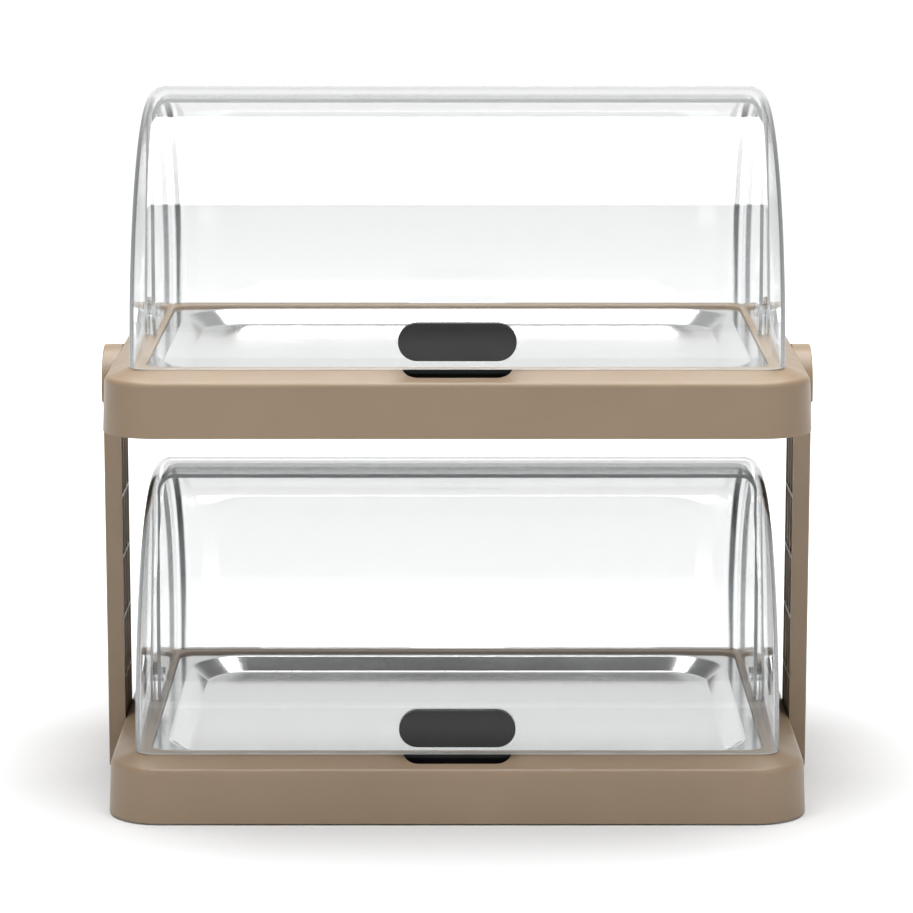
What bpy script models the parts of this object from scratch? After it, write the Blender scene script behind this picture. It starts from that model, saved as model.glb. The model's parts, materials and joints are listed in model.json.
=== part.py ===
"""Two-tier chilled roll-top display.

Two equal moulded bases stand one above the other between two flat side columns.
Each base holds freezer packs on a floor pan, a steel tray over them, and a clear hood in
two halves. The rear half stays put and the front half rolls up and back over it.
Metres, +Z up, front towards -Y, origin on the floor under the middle.
"""

import math

import bmesh
import bpy
from mathutils import Matrix, Vector

# Clearances
CLEAR = 0.0003
CUT_OVERRUN = 0.002
SMALLEST_CORNER = 0.002

# Base moulding
BASE_WIDTH = 0.440
BASE_DEPTH = 0.320
BASE_CORNER = 0.034
BASE_DRAFT = 0.0013
BASE_WALL = 0.0028
BASE_FOOT_ROUND = 0.0012
RIM_EDGE_RISE = 0.0336
RIM_EDGE_ROUND = 0.0026
LEDGE_RISE = 0.0405
LEDGE_SIDE_INSET = 0.0172
LEDGE_END_INSET = 0.0150
LEDGE_CORNER = 0.0170
LEDGE_EDGE_ROUND = 0.0012
LEDGE_SIDE_WIDTH = 0.0093
LEDGE_END_WIDTH = 0.0130
RECESS_CORNER = 0.0120
TRAY_SINK = 0.0018
LIP_SIDE_WIDTH = 0.0050
LIP_END_WIDTH = 0.0024
SKIRT_WALL = 0.0022
SKIRT_DROP = 0.0200

# Finger notches in the rim, front and back
NOTCH_WIDTH = 0.0680
NOTCH_CORNER = 0.0100
NOTCH_EDGE_MARGIN = 0.0076
NOTCH_UNDER_HOOD = 0.0008

# Steel tray
TRAY_SHEET = 0.0008
TRAY_SIDE_RIM = 0.0100
TRAY_END_RIM = 0.0040
TRAY_WELL_CORNER = 0.0350
TRAY_WELL_DEPTH = 0.0095
TRAY_SLOPE_RUN = 0.0125
TRAY_BEND = 0.0018
TRAY_PLAY = 0.0005

# Floor pan
PAN_SHEET = 0.0024
PAN_SINK = 0.0008
PAN_POCKET_GAP = 0.0120
PAN_POCKET_RISE = 0.0130
PAN_POCKET_WALL = 0.0020
PAN_POCKET_CORNER = 0.0120

# Freezer packs
PACK_AIR_GAP = 0.0009
PACK_SIDE_PLAY = 0.0015
PACK_ROUND = 0.0050
PACK_CORNER = 0.0090
PACK_BAY = 0.0320
PACK_NECK_RADIUS = 0.0070
PACK_NECK_LENGTH = 0.0130
PACK_CAP_RADIUS = 0.0093
PACK_CAP_LENGTH = 0.0110
PACK_CAP_RIBS = 10
PACK_CAP_RIB_DEPTH = 0.0006

# Clear hoods
HOOD_WALL = 0.0023
HOOD_EDGE_MARGIN = 0.0003
HOOD_SIDE_MARGIN = 0.0003
HOOD_CORNER = 0.0120
HOOD_LEAN = 0.0020
REAR_HOOD_LEAN = 0.0015
HOOD_NEST_GAP = 0.0030
HOOD_SIDE_GAP = 0.0023
PIVOT_RISE = 0.0160
FRONT_HOOD_LAP = 0.0076
REAR_HOOD_LAP = 0.0230

# Hood pivots
STUD_RADIUS = 0.0030
STUD_HEAD_RADIUS = 0.0050
STUD_HEAD = 0.0018
HUB_RADIUS = 0.0085
HUB_LENGTH = 0.0023
HUB_RIBS = 15
HUB_RIB_DEPTH = 0.0004
HUB_FLOOR = 0.0008
BRACKET_FOOT_HALF = 0.0110
BRACKET_TONGUE_HALF = 0.0050
BRACKET_TONGUE_DROP = 0.0060

# Handle on each front hood
HANDLE_LENGTH = 0.0728
HANDLE_HEIGHT = 0.0237
HANDLE_DEPTH = 0.0062
HANDLE_RISE = 0.0180
HANDLE_CROWN = 0.0026
HANDLE_SCREW_INSET = 0.0124
HANDLE_SCREW_DEPTH = 0.0032

# Space between the lower hood and the upper base
TIER_GAP = 0.0423

# Side columns
COLUMN_WIDTH = 0.0530
COLUMN_THICKNESS = 0.0110
COLUMN_FOOT_GAP = 0.0015
COLUMN_TOP_DROP = 0.0066
COLUMN_SKIN = 0.0022
COLUMN_RIB = 0.0018
COLUMN_RIB_PITCH = 0.0403
COLUMN_EDGE_ROUND = 0.0025
COLUMN_HEAD_PROUD = 0.0010
COLUMN_SEAT_DEPTH = 0.0020
COLUMN_SEAT_PAD = 0.0045
COLUMN_PAD_FOOT = 0.0060
COLUMN_SCREW_RISE = 0.0120
COLUMN_SCREW_INSET = 0.0105
COLUMN_SCREW_BITE = 0.0060

# Screws
SCREW_RADIUS = 0.0016
SCREW_HEAD_RADIUS = 0.0034
SCREW_HEAD = 0.0016
FLOOR_SCREW_BITE = 0.0120
BOSS_RADIUS = 0.0045
BOSS_BITE_SINK = 0.0008
BOSS_END_INSET = 0.0500

# Rubber feet
FOOT_STAND = 0.0010
FOOT_RADIUS = 0.0080
FOOT_STEM_RADIUS = 0.0020
FOOT_STEM = 0.0060
FOOT_SIDE_INSET = 0.0450
FOOT_END_INSET = 0.0380

# Facets
CORNER_STEPS = 5
BEND_STEPS = 2
DRUM_STEPS = 60
FOOT_STEPS = 16
PIN_STEPS = 10
LARGEST_BEND_SHARE = 0.45

# Sizes worked out from those above
BASE_HALF_WIDTH = BASE_WIDTH / 2
BASE_HALF_DEPTH = BASE_DEPTH / 2
LEDGE_HALF_WIDTH = BASE_HALF_WIDTH - LEDGE_SIDE_INSET
LEDGE_HALF_DEPTH = BASE_HALF_DEPTH - LEDGE_END_INSET
RECESS_HALF_WIDTH = LEDGE_HALF_WIDTH - LEDGE_SIDE_WIDTH
RECESS_HALF_DEPTH = LEDGE_HALF_DEPTH - LEDGE_END_WIDTH
TRAY_TOP = LEDGE_RISE - TRAY_SINK
LIP_TOP = TRAY_TOP - TRAY_SHEET - CLEAR
TRAY_FLOOR = TRAY_TOP - TRAY_WELL_DEPTH
PAN_TOP = PAN_SINK + PAN_SHEET
POCKET_HALF_WIDTH = RECESS_HALF_WIDTH - PAN_POCKET_GAP - PAN_POCKET_WALL
POCKET_HALF_DEPTH = RECESS_HALF_DEPTH - PAN_POCKET_GAP
HOOD_HALF_WIDTH = LEDGE_HALF_WIDTH - HOOD_SIDE_MARGIN
HOOD_FOOT = PIVOT_RISE - CLEAR
HOOD_RADIUS = math.hypot(LEDGE_HALF_DEPTH - HOOD_EDGE_MARGIN, HOOD_FOOT)
REAR_HALF_WIDTH = HOOD_HALF_WIDTH - HOOD_WALL - HOOD_SIDE_GAP
REAR_RADIUS = HOOD_RADIUS - HOOD_WALL - HOOD_NEST_GAP
HOOD_RISE = PIVOT_RISE + HOOD_RADIUS
PIVOT_HEIGHT = LEDGE_RISE + PIVOT_RISE
TIER_PITCH = LEDGE_RISE + HOOD_RISE + TIER_GAP
COLUMN_HALF = COLUMN_WIDTH / 2
COLUMN_SEAT = BASE_HALF_WIDTH - COLUMN_SEAT_DEPTH
COLUMN_INNER = COLUMN_SEAT + CLEAR
COLUMN_OUTER = COLUMN_INNER + COLUMN_THICKNESS
COLUMN_TOP = TIER_PITCH + LEDGE_RISE - COLUMN_TOP_DROP
COLUMN_SCREW_REACH = COLUMN_HALF - COLUMN_SCREW_INSET
PAD_FACE = COLUMN_SEAT - COLUMN_SEAT_PAD
PIN_HOLE = STUD_RADIUS + CLEAR
SCREW_HOLE = SCREW_RADIUS + CLEAR

TAUPE = (0.353, 0.271, 0.208, 1.0)
CLEAR_PLASTIC = (0.92, 0.94, 0.96, 0.25)
STEEL = (0.68, 0.69, 0.70, 1.0)
BLACK = (0.035, 0.035, 0.037, 1.0)
PACK_BLUE = (0.30, 0.47, 0.66, 1.0)
WHITE = (0.80, 0.80, 0.78, 1.0)
RUBBER = (0.05, 0.05, 0.05, 1.0)


def clear_scene():
    """Removes whatever the scene holds."""
    for item in list(bpy.data.objects):
        bpy.data.objects.remove(item, do_unlink=True)


def finish(name, surface):
    """One material: its colour, roughness, metallic value and transmission."""
    colour, roughness, metallic, transmission = surface
    material = bpy.data.materials.new(name)
    material.use_nodes = True
    shader = material.node_tree.nodes["Principled BSDF"]
    shader.inputs["Base Color"].default_value = colour
    shader.inputs["Roughness"].default_value = roughness
    shader.inputs["Metallic"].default_value = metallic
    shader.inputs["Transmission Weight"].default_value = transmission
    shader.inputs["Alpha"].default_value = colour[3]
    material.diffuse_color = colour
    return material


MOULDED = (TAUPE, 0.55, 0.0, 0.0)
GLAZED = (CLEAR_PLASTIC, 0.05, 0.0, 0.9)
BRUSHED = (STEEL, 0.30, 1.0, 0.0)
MATT_BLACK = (BLACK, 0.60, 0.0, 0.0)
PACK_SHELL = (PACK_BLUE, 0.45, 0.0, 0.0)
CAP_WHITE = (WHITE, 0.45, 0.0, 0.0)
SOFT_RUBBER = (RUBBER, 0.85, 0.0, 0.0)


def skinned(name, rows, ring=False):
    """A closed mesh through rows of equally many points, capped at its ends unless it is a ring."""
    shape = bmesh.new()
    lines = [[shape.verts.new(point) for point in row] for row in rows]
    pairs = list(zip(lines, lines[1:]))
    if ring:
        pairs.append((lines[-1], lines[0]))
    else:
        shape.faces.new(lines[0][::-1])
        shape.faces.new(lines[-1])
    for near, far in pairs:
        for index in range(len(near)):
            shape.faces.new((near[index - 1], near[index], far[index], far[index - 1]))
    bmesh.ops.recalc_face_normals(shape, faces=shape.faces)
    mesh = bpy.data.meshes.new(name)
    shape.to_mesh(mesh)
    shape.free()
    return mesh


def helper(mesh):
    """A hidden object that lends its mesh to a Boolean."""
    item = bpy.data.objects.new(mesh.name, mesh)
    bpy.context.collection.objects.link(item)
    item.hide_render = True
    item.display_type = "WIRE"
    return item


def combined(body, others, operation):
    """The body's mesh after a Boolean with each of the other meshes in turn."""
    base = helper(body)
    tools = [helper(other) for other in others]
    for tool in tools:
        step = base.modifiers.new(tool.name, "BOOLEAN")
        step.operation = operation
        step.solver = "EXACT"
        step.object = tool
    bpy.context.view_layer.update()
    graph = bpy.context.evaluated_depsgraph_get()
    mesh = bpy.data.meshes.new_from_object(base.evaluated_get(graph))
    mesh.name = body.name
    for item in [base, *tools]:
        bpy.data.objects.remove(item, do_unlink=True)
    return mesh


def cut(body, *tools):
    return combined(body, tools, "DIFFERENCE")


def joined(body, *others):
    return combined(body, others, "UNION")


def kept(body, *limits):
    return combined(body, limits, "INTERSECT")


def station(half_width, half_depth, corner, height):
    """One level of a rounded rectangular form: its half sizes, its corner radius, its height."""
    return Vector((half_width, half_depth, corner, height))


def moved_station(spot, inset, rise):
    """The same outline drawn in all round and lifted."""
    corner = max(spot.z - inset, SMALLEST_CORNER)
    return station(spot.x - inset, spot.y - inset, corner, spot.w + rise)


def station_row(spot):
    """The points of one level, anticlockwise from above."""
    row = []
    for quarter, (side, end) in enumerate(((1, 1), (-1, 1), (-1, -1), (1, -1))):
        centre_x = side * (spot.x - spot.z)
        centre_y = end * (spot.y - spot.z)
        for step in range(CORNER_STEPS + 1):
            turn = (quarter + step / CORNER_STEPS) * math.pi / 2
            row.append((centre_x + spot.z * math.cos(turn), centre_y + spot.z * math.sin(turn), spot.w))
    return row


def reach(spot, other):
    """How far apart two stations are, seen on a section across the width."""
    return math.hypot(spot.x - other.x, spot.w - other.w)


def bend(start, corner, end, size):
    """Stations that round off a corner of a section, one bend size long on each side."""
    first = corner.lerp(start, min(size / reach(start, corner), LARGEST_BEND_SHARE))
    last = corner.lerp(end, min(size / reach(end, corner), LARGEST_BEND_SHARE))
    steps = [step / BEND_STEPS for step in range(BEND_STEPS + 1)]
    return [first.lerp(corner, t).lerp(corner.lerp(last, t), t) for t in steps]


def levels(name, stations, ring=False):
    return skinned(name, [station_row(spot) for spot in stations], ring)


def circle(radius, along, axis, steps, turn=0.0):
    """A circle round X, Y or Z at a distance along it."""
    row = []
    for step in range(steps):
        angle = turn + 2 * math.pi * step / steps
        across = (radius * math.cos(angle), radius * math.sin(angle))
        point = {"X": (along, *across), "Y": (across[1], along, across[0]), "Z": (*across, along)}
        row.append(point[axis])
    return row


def turned(name, profile, axis="Z", steps=PIN_STEPS, ring=False):
    """A turned form from its profile of radius and distance along its axis."""
    return skinned(name, [circle(radius, along, axis, steps) for radius, along in profile], ring)


def ribbed(name, profile, axis, ribs, depth, ring=False):
    """A turned form whose outside carries fine ribs: profile rows are radius, distance, ribbed or not."""
    rows = []
    for radius, along, has_ribs in profile:
        plain = circle(radius, along, axis, 2 * ribs)
        dip = circle(radius - depth, along, axis, 2 * ribs)
        rows.append([dip[i] if has_ribs and i % 2 else plain[i] for i in range(2 * ribs)])
    return skinned(name, rows, ring)


def moved(mesh, offset, turn=0.0):
    """A copy of a mesh, turned about Z and then moved."""
    copy = mesh.copy()
    copy.transform(Matrix.Translation(offset) @ Matrix.Rotation(turn, 4, "Z"))
    return copy


def block(name, low, high):
    """A plain box between two corners."""
    rows = []
    for height in (low[2], high[2]):
        rows.append([
            (low[0], low[1], height),
            (high[0], low[1], height),
            (high[0], high[1], height),
            (low[0], high[1], height),
        ])
    return skinned(name, rows)


def slab(name, outline, start, end, axis="X"):
    """An outline in the other two axes, extruded along one."""
    place = {
        "X": lambda point, along: (along, point[0], point[1]),
        "Y": lambda point, along: (point[0], along, point[1]),
        "Z": lambda point, along: (point[0], point[1], along),
    }[axis]
    return skinned(name, [[place(point, along) for point in outline] for along in (start, end)])


def base_section():
    """The stations of the base moulding, once round its wall: outside, rim, ledge, skirt, inside."""
    foot = station(BASE_HALF_WIDTH, BASE_HALF_DEPTH, BASE_CORNER, 0.0)
    edge = moved_station(foot, BASE_DRAFT, RIM_EDGE_RISE)
    ledge = station(LEDGE_HALF_WIDTH, LEDGE_HALF_DEPTH, LEDGE_CORNER, LEDGE_RISE)
    recess = station(RECESS_HALF_WIDTH, RECESS_HALF_DEPTH, RECESS_CORNER, LEDGE_RISE)
    lip_root = recess.copy()
    lip_root.w = LIP_TOP
    lip = station(
        RECESS_HALF_WIDTH - LIP_SIDE_WIDTH,
        RECESS_HALF_DEPTH - LIP_END_WIDTH,
        RECESS_CORNER - LIP_END_WIDTH,
        LIP_TOP,
    )
    skirt = moved_station(lip, 0.0, -SKIRT_DROP)
    skirt_back = moved_station(skirt, -SKIRT_WALL, 0.0)
    lip_under = moved_station(lip, -SKIRT_WALL, -SKIRT_WALL)
    step_under = moved_station(lip_root, -SKIRT_WALL, -SKIRT_WALL)
    ledge_under = moved_station(recess, -SKIRT_WALL, -BASE_WALL)
    slope_under = moved_station(ledge, 0.0, -BASE_WALL)
    edge_under = moved_station(edge, BASE_WALL, -BASE_WALL / 2)
    inside = moved_station(foot, BASE_WALL, 0.0)
    foot_round = moved_station(foot, BASE_FOOT_ROUND, 0.0)
    foot_side = moved_station(foot, 0.0, BASE_FOOT_ROUND)
    return [
        foot_round,
        foot_side,
        *bend(foot, edge, ledge, RIM_EDGE_ROUND),
        *bend(edge, ledge, recess, LEDGE_EDGE_ROUND),
        recess,
        lip_root,
        lip,
        skirt,
        skirt_back,
        lip_under,
        step_under,
        ledge_under,
        slope_under,
        edge_under,
        inside,
    ]


def notch_outline(end):
    """A half stadium, from under the hood's edge out to the notch margin, front or back."""
    half = NOTCH_WIDTH / 2
    outer = BASE_HALF_DEPTH - NOTCH_EDGE_MARGIN
    inner = LEDGE_HALF_DEPTH - HOOD_EDGE_MARGIN - HOOD_WALL - NOTCH_UNDER_HOOD
    corner = min(NOTCH_CORNER, LARGEST_BEND_SHARE * NOTCH_WIDTH, outer - inner)
    outline = [(half, end * inner), (-half, end * inner)]
    for side in (-1, 1):
        arc = []
        for step in range(CORNER_STEPS + 1):
            turn = step / CORNER_STEPS * math.pi / 2
            across = side * (half - corner + corner * math.cos(turn))
            arc.append((across, end * (outer - corner + corner * math.sin(turn))))
        outline += arc if side < 0 else arc[::-1]
    return outline


def base_mesh():
    """The base: the moulded wall with its column pads, screw bosses, finger notches and slots."""
    body = levels("base", base_section(), ring=True)
    pads = []
    bosses = []
    cuts = []
    for side in (-1, 1):
        faces = sorted((side * PAD_FACE, side * (BASE_HALF_WIDTH - BASE_DRAFT - CLEAR)))
        pads.append(block(
            "pad",
            (faces[0], -COLUMN_HALF - BASE_WALL, COLUMN_PAD_FOOT),
            (faces[1], COLUMN_HALF + BASE_WALL, RIM_EDGE_RISE - BASE_WALL / 2),
        ))
        seat = sorted((side * COLUMN_SEAT, side * (BASE_HALF_WIDTH + CUT_OVERRUN)))
        cuts.append(block(
            "seat",
            (seat[0], -COLUMN_HALF - CLEAR, -CUT_OVERRUN),
            (seat[1], COLUMN_HALF + CLEAR, LEDGE_RISE + CUT_OVERRUN),
        ))
        for end in (-1, 1):
            bosses.append(moved(boss_mesh(), boss_place(side, end)))
            cuts.append(moved(boss_bore(), boss_place(side, end)))
            span = sorted((side * (PAD_FACE - CUT_OVERRUN), side * (COLUMN_SEAT + CUT_OVERRUN)))
            bore = turned("bore", [(SCREW_HOLE, along) for along in span], "X")
            cuts.append(moved(bore, (0.0, end * COLUMN_SCREW_REACH, COLUMN_SCREW_RISE)))
        cuts.append(tongue_slot(side))
        cuts.append(slab(
            "notch",
            notch_outline(side),
            RIM_EDGE_RISE - BASE_WALL - CUT_OVERRUN,
            LEDGE_RISE + CUT_OVERRUN,
            "Z",
        ))
    return cut(joined(body, *pads, *bosses), *cuts)


def boss_place(side, end):
    """Where a screw boss stands: against the recess wall, near a corner."""
    across = RECESS_HALF_WIDTH + SKIRT_WALL - CLEAR + BOSS_RADIUS
    return (side * across, end * (BASE_HALF_DEPTH - BOSS_END_INSET), 0.0)


def boss_mesh():
    top = LEDGE_RISE - BASE_WALL + BOSS_BITE_SINK
    return turned("boss", [(BOSS_RADIUS, PAN_TOP + CLEAR), (BOSS_RADIUS, top)])


def boss_bore():
    top = PAN_TOP + CLEAR + FLOOR_SCREW_BITE
    return turned("boss_bore", [(SCREW_HOLE, PAN_TOP - CUT_OVERRUN), (SCREW_HOLE, top)])


def tongue_slot(side):
    """The slot in the ledge that takes the tongue of a pivot bracket."""
    inner, outer = bracket_faces()
    span = sorted((side * (inner - CLEAR), side * (outer + CLEAR)))
    half = BRACKET_TONGUE_HALF + CLEAR
    low = LEDGE_RISE - BASE_WALL - CUT_OVERRUN
    return block("slot", (span[0], -half, low), (span[1], half, LEDGE_RISE + CUT_OVERRUN))


def tray_mesh():
    """The pressed steel tray: a flat rim, a sloping side and a flat floor."""
    rim = station(
        RECESS_HALF_WIDTH - TRAY_PLAY, RECESS_HALF_DEPTH - TRAY_PLAY, RECESS_CORNER - TRAY_PLAY,
        TRAY_TOP,
    )
    brink = station(
        RECESS_HALF_WIDTH - TRAY_SIDE_RIM, RECESS_HALF_DEPTH - TRAY_END_RIM, TRAY_WELL_CORNER, TRAY_TOP
    )
    foot = station(
        brink.x - TRAY_SLOPE_RUN, brink.y - TRAY_SLOPE_RUN, TRAY_WELL_CORNER - TRAY_SLOPE_RUN / 2, TRAY_FLOOR
    )
    floor = moved_station(foot, TRAY_SLOPE_RUN, 0.0)
    upper = [rim, *bend(rim, brink, foot, TRAY_BEND), *bend(brink, foot, floor, TRAY_BEND)]
    lower = [moved_station(spot, 0.0, -TRAY_SHEET) for spot in upper]
    return levels("steel_tray", upper[::-1] + lower)


def pan_mesh():
    """The floor pan: a flat plate that closes the base, with a low wall round the freezer packs."""
    inset = BASE_WALL + CLEAR
    under = station(
        BASE_HALF_WIDTH - inset, BASE_HALF_DEPTH - inset, BASE_CORNER - inset, PAN_SINK
    )
    top = moved_station(under, BASE_DRAFT / 2, PAN_SHEET)
    wall = station(
        POCKET_HALF_WIDTH + PAN_POCKET_WALL,
        POCKET_HALF_DEPTH + PAN_POCKET_WALL,
        PAN_POCKET_CORNER + PAN_POCKET_WALL,
        PAN_TOP,
    )
    wall_top = moved_station(wall, 0.0, PAN_POCKET_RISE)
    inner_top = moved_station(wall_top, PAN_POCKET_WALL, 0.0)
    floor = moved_station(inner_top, 0.0, -PAN_POCKET_RISE)
    plate = levels("floor_pan", [under, top, wall, wall_top, inner_top, floor])
    holes = []
    for side in (-1, 1):
        for end in (-1, 1):
            sink = turned("sink", [
                (SCREW_HEAD_RADIUS + CLEAR, PAN_SINK - CUT_OVERRUN),
                (SCREW_HEAD_RADIUS + CLEAR, PAN_SINK),
                (SCREW_HOLE, PAN_SINK + SCREW_HEAD),
                (SCREW_HOLE, PAN_TOP + CUT_OVERRUN),
            ])
            holes.append(moved(sink, boss_place(side, end)))
            stem = turned("stem", [
                (FOOT_STEM_RADIUS + CLEAR, PAN_SINK - CUT_OVERRUN),
                (FOOT_STEM_RADIUS + CLEAR, PAN_TOP + CUT_OVERRUN),
            ])
            holes.append(moved(stem, foot_place(side, end)))
    return cut(plate, *holes)


def foot_place(side, end):
    return (side * (BASE_HALF_WIDTH - FOOT_SIDE_INSET), end * (BASE_HALF_DEPTH - FOOT_END_INSET), 0.0)


def pack_sizes():
    """Half sizes, centre and levels of one freezer pack on the right of the pan."""
    low = PAN_TOP + CLEAR
    high = TRAY_FLOOR - TRAY_SHEET - PACK_AIR_GAP
    half_x = (POCKET_HALF_WIDTH - 2 * PACK_SIDE_PLAY) / 2
    half_y = POCKET_HALF_DEPTH - PACK_SIDE_PLAY
    centre_x = PACK_SIDE_PLAY / 2 + POCKET_HALF_WIDTH / 2
    return low, high, half_x, half_y, centre_x


def pack_mesh():
    """A flat freezer pack with one corner set back for its filling neck."""
    low, high, half_x, half_y, centre_x = pack_sizes()
    bottom = station(half_x, half_y, PACK_CORNER, low)
    top = station(half_x, half_y, PACK_CORNER, high)
    inner_bottom = moved_station(bottom, PACK_ROUND, 0.0)
    inner_top = moved_station(top, PACK_ROUND, 0.0)
    body = levels("ice_pack", [
        *bend(inner_bottom, bottom, top, PACK_ROUND),
        *bend(bottom, top, inner_top, PACK_ROUND),
    ])
    bay = block(
        "bay",
        (half_x - PACK_BAY, half_y - PACK_BAY, low - CUT_OVERRUN),
        (half_x + CUT_OVERRUN, half_y + CUT_OVERRUN, high + CUT_OVERRUN),
    )
    root = half_y - PACK_BAY
    neck = turned("neck", [
        (PACK_NECK_RADIUS, root - CUT_OVERRUN), (PACK_NECK_RADIUS, root + PACK_NECK_LENGTH)
    ], "Y")
    body = joined(cut(body, bay), moved(neck, neck_centre()))
    return moved(body, (centre_x, 0.0, 0.0))


def neck_centre():
    """The neck's axis, seen from above and from the front, from the middle of its pack."""
    low, high, half_x, _, _ = pack_sizes()
    return Vector((half_x - PACK_BAY / 2, 0.0, (low + high) / 2))


def pack_cap_mesh():
    """A ribbed cap over the neck of a freezer pack."""
    _, _, _, half_y, centre_x = pack_sizes()
    tip = half_y - PACK_BAY + PACK_NECK_LENGTH + CLEAR
    bore = PACK_NECK_RADIUS + CLEAR
    cap = ribbed("pack_cap", [
        (bore, tip, False),
        (bore, tip - PACK_CAP_LENGTH + PACK_CAP_RIB_DEPTH, False),
        (PACK_CAP_RADIUS, tip - PACK_CAP_LENGTH + PACK_CAP_RIB_DEPTH, True),
        (PACK_CAP_RADIUS, tip + PACK_CAP_RIB_DEPTH, True),
        (PACK_NECK_RADIUS, tip + 2 * PACK_CAP_RIB_DEPTH, False),
    ], "Y", PACK_CAP_RIBS, PACK_CAP_RIB_DEPTH)
    return moved(cap, neck_centre() + Vector((centre_x, 0.0, 0.0)))


def drum(name, half_width, radius, corner, lean):
    """A drum round the pivot axis, its ends rounded and leaning in towards the top."""
    profile = [(radius - corner, -half_width)]
    for step in range(1, 2 * BEND_STEPS + 1):
        turn = step / (2 * BEND_STEPS) * math.pi / 2
        across = -half_width + corner * (1 - math.cos(turn))
        profile.append((radius - corner + corner * math.sin(turn), across))
    profile += [(size, -along) for size, along in reversed(profile)]
    rows = []
    for size, along in profile:
        row = []
        for _, across, height in circle(size, along, "X", DRUM_STEPS):
            share = lean / half_width * (height + PIVOT_RISE) / HOOD_RISE
            row.append((along * (1 - share), across, height))
        rows.append(row)
    return skinned(name, rows)


def hood_outline(lap, side, radius):
    """The side view of a hood half about its pivot: a boss, a straight foot and a leaning edge."""
    top = radius + CUT_OVERRUN
    slant = math.atan2(top, lap) - math.acos(HOOD_FOOT / math.hypot(lap, top))
    outline = [(-top, -HOOD_FOOT)]
    steps = 2 * CORNER_STEPS
    for step in range(steps + 1):
        turn = -math.pi / 2 + (slant + math.pi / 2) * step / steps
        outline.append((HOOD_FOOT * math.cos(turn), HOOD_FOOT * math.sin(turn)))
    outline += [(lap, top), (-top, top)]
    return [(side * across, height) for across, height in outline]


def hood_mesh(name, half_width, radius, lean, lap, side):
    """One half of the hood: a thin shell of the drum, kept to its side view, with pivot holes."""
    shell = cut(
        drum(name, half_width, radius, HOOD_CORNER, lean),
        drum("hollow", half_width - HOOD_WALL, radius - HOOD_WALL, HOOD_CORNER - HOOD_WALL, lean),
    )
    limit = slab(
        "limit", hood_outline(lap, side, radius), -half_width - CUT_OVERRUN, half_width + CUT_OVERRUN
    )
    bore = turned("bore", [
        (PIN_HOLE, -half_width - CUT_OVERRUN), (PIN_HOLE, half_width + CUT_OVERRUN)
    ], "X")
    return cut(kept(shell, limit), bore)


def front_hood_mesh():
    """The moving outer half, with two holes for the handle's screws."""
    hood = hood_mesh("front_hood", HOOD_HALF_WIDTH, HOOD_RADIUS, HOOD_LEAN, FRONT_HOOD_LAP, 1)
    bores = []
    for side in (-1, 1):
        bore = turned("bore", [
            (SCREW_HOLE, -HOOD_RADIUS - CUT_OVERRUN),
            (SCREW_HOLE, -HOOD_RADIUS + HOOD_WALL + CUT_OVERRUN),
        ], "Y")
        bores.append(moved(bore, handle_screw_place(side)))
    return cut(hood, *bores)


def rear_hood_mesh():
    return hood_mesh("rear_hood", REAR_HALF_WIDTH, REAR_RADIUS, REAR_HOOD_LEAN, REAR_HOOD_LAP, -1)


def handle_screw_place(side):
    return (side * (HANDLE_LENGTH / 2 - HANDLE_SCREW_INSET), 0.0, HANDLE_RISE - PIVOT_RISE)


def stadium(length, height, along):
    """A stadium outline across X and Z at one distance along Y."""
    radius = height / 2
    row = []
    for side in (1, -1):
        for step in range(2 * CORNER_STEPS + 1):
            turn = -side * math.pi / 2 + side * math.pi * step / (2 * CORNER_STEPS)
            across = side * (length / 2 - radius + radius * math.cos(turn))
            row.append((across, along, radius * math.sin(turn) + HANDLE_RISE - PIVOT_RISE))
    return row


def handle_mesh():
    """The handle pad: a crowned stadium whose back follows the front hood."""
    back = HOOD_RADIUS - HANDLE_DEPTH / 2
    face = HOOD_RADIUS + HANDLE_DEPTH
    rows = [stadium(HANDLE_LENGTH, HANDLE_HEIGHT, -back)]
    for step in range(BEND_STEPS + 1):
        turn = step / BEND_STEPS * math.pi / 2
        inset = HANDLE_CROWN * (1 - math.cos(turn))
        depth = face - HANDLE_CROWN * (1 - math.sin(turn))
        rows.append(stadium(HANDLE_LENGTH - 2 * inset, HANDLE_HEIGHT - 2 * inset, -depth))
    pad = skinned("handle", rows)
    fit = drum("fit", HOOD_HALF_WIDTH, HOOD_RADIUS + CLEAR, HOOD_CORNER, 0.0)
    bores = []
    for side in (-1, 1):
        bore = turned("bore", [
            (SCREW_HOLE, -HOOD_RADIUS - HANDLE_SCREW_DEPTH - 2 * CLEAR), (SCREW_HOLE, -back)
        ], "Y")
        bores.append(moved(bore, handle_screw_place(side)))
    return cut(pad, fit, *bores)


def handle_screw_mesh():
    """A screw from inside the front hood into the handle pad."""
    wall = HOOD_RADIUS - HOOD_WALL
    profile = [
        (SCREW_HEAD_RADIUS, CLEAR - wall + SCREW_HEAD),
        (SCREW_HEAD_RADIUS, CLEAR - wall + CLEAR),
        (SCREW_RADIUS, CLEAR - wall + CLEAR),
        (SCREW_RADIUS, -HOOD_RADIUS - HANDLE_SCREW_DEPTH),
    ]
    return turned("handle_screw", profile, "Y")


def wall_at_pivot(half_width, lean):
    """How far out a leaning hood side stands at the height of its pivot."""
    return half_width - lean * PIVOT_RISE / HOOD_RISE


def bracket_faces():
    """The inner and outer face of a pivot bracket, between the two hood walls."""
    inner = wall_at_pivot(REAR_HALF_WIDTH, REAR_HOOD_LEAN) + CLEAR
    outer = wall_at_pivot(HOOD_HALF_WIDTH, HOOD_LEAN) - HOOD_WALL - CLEAR
    return inner, outer


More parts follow.
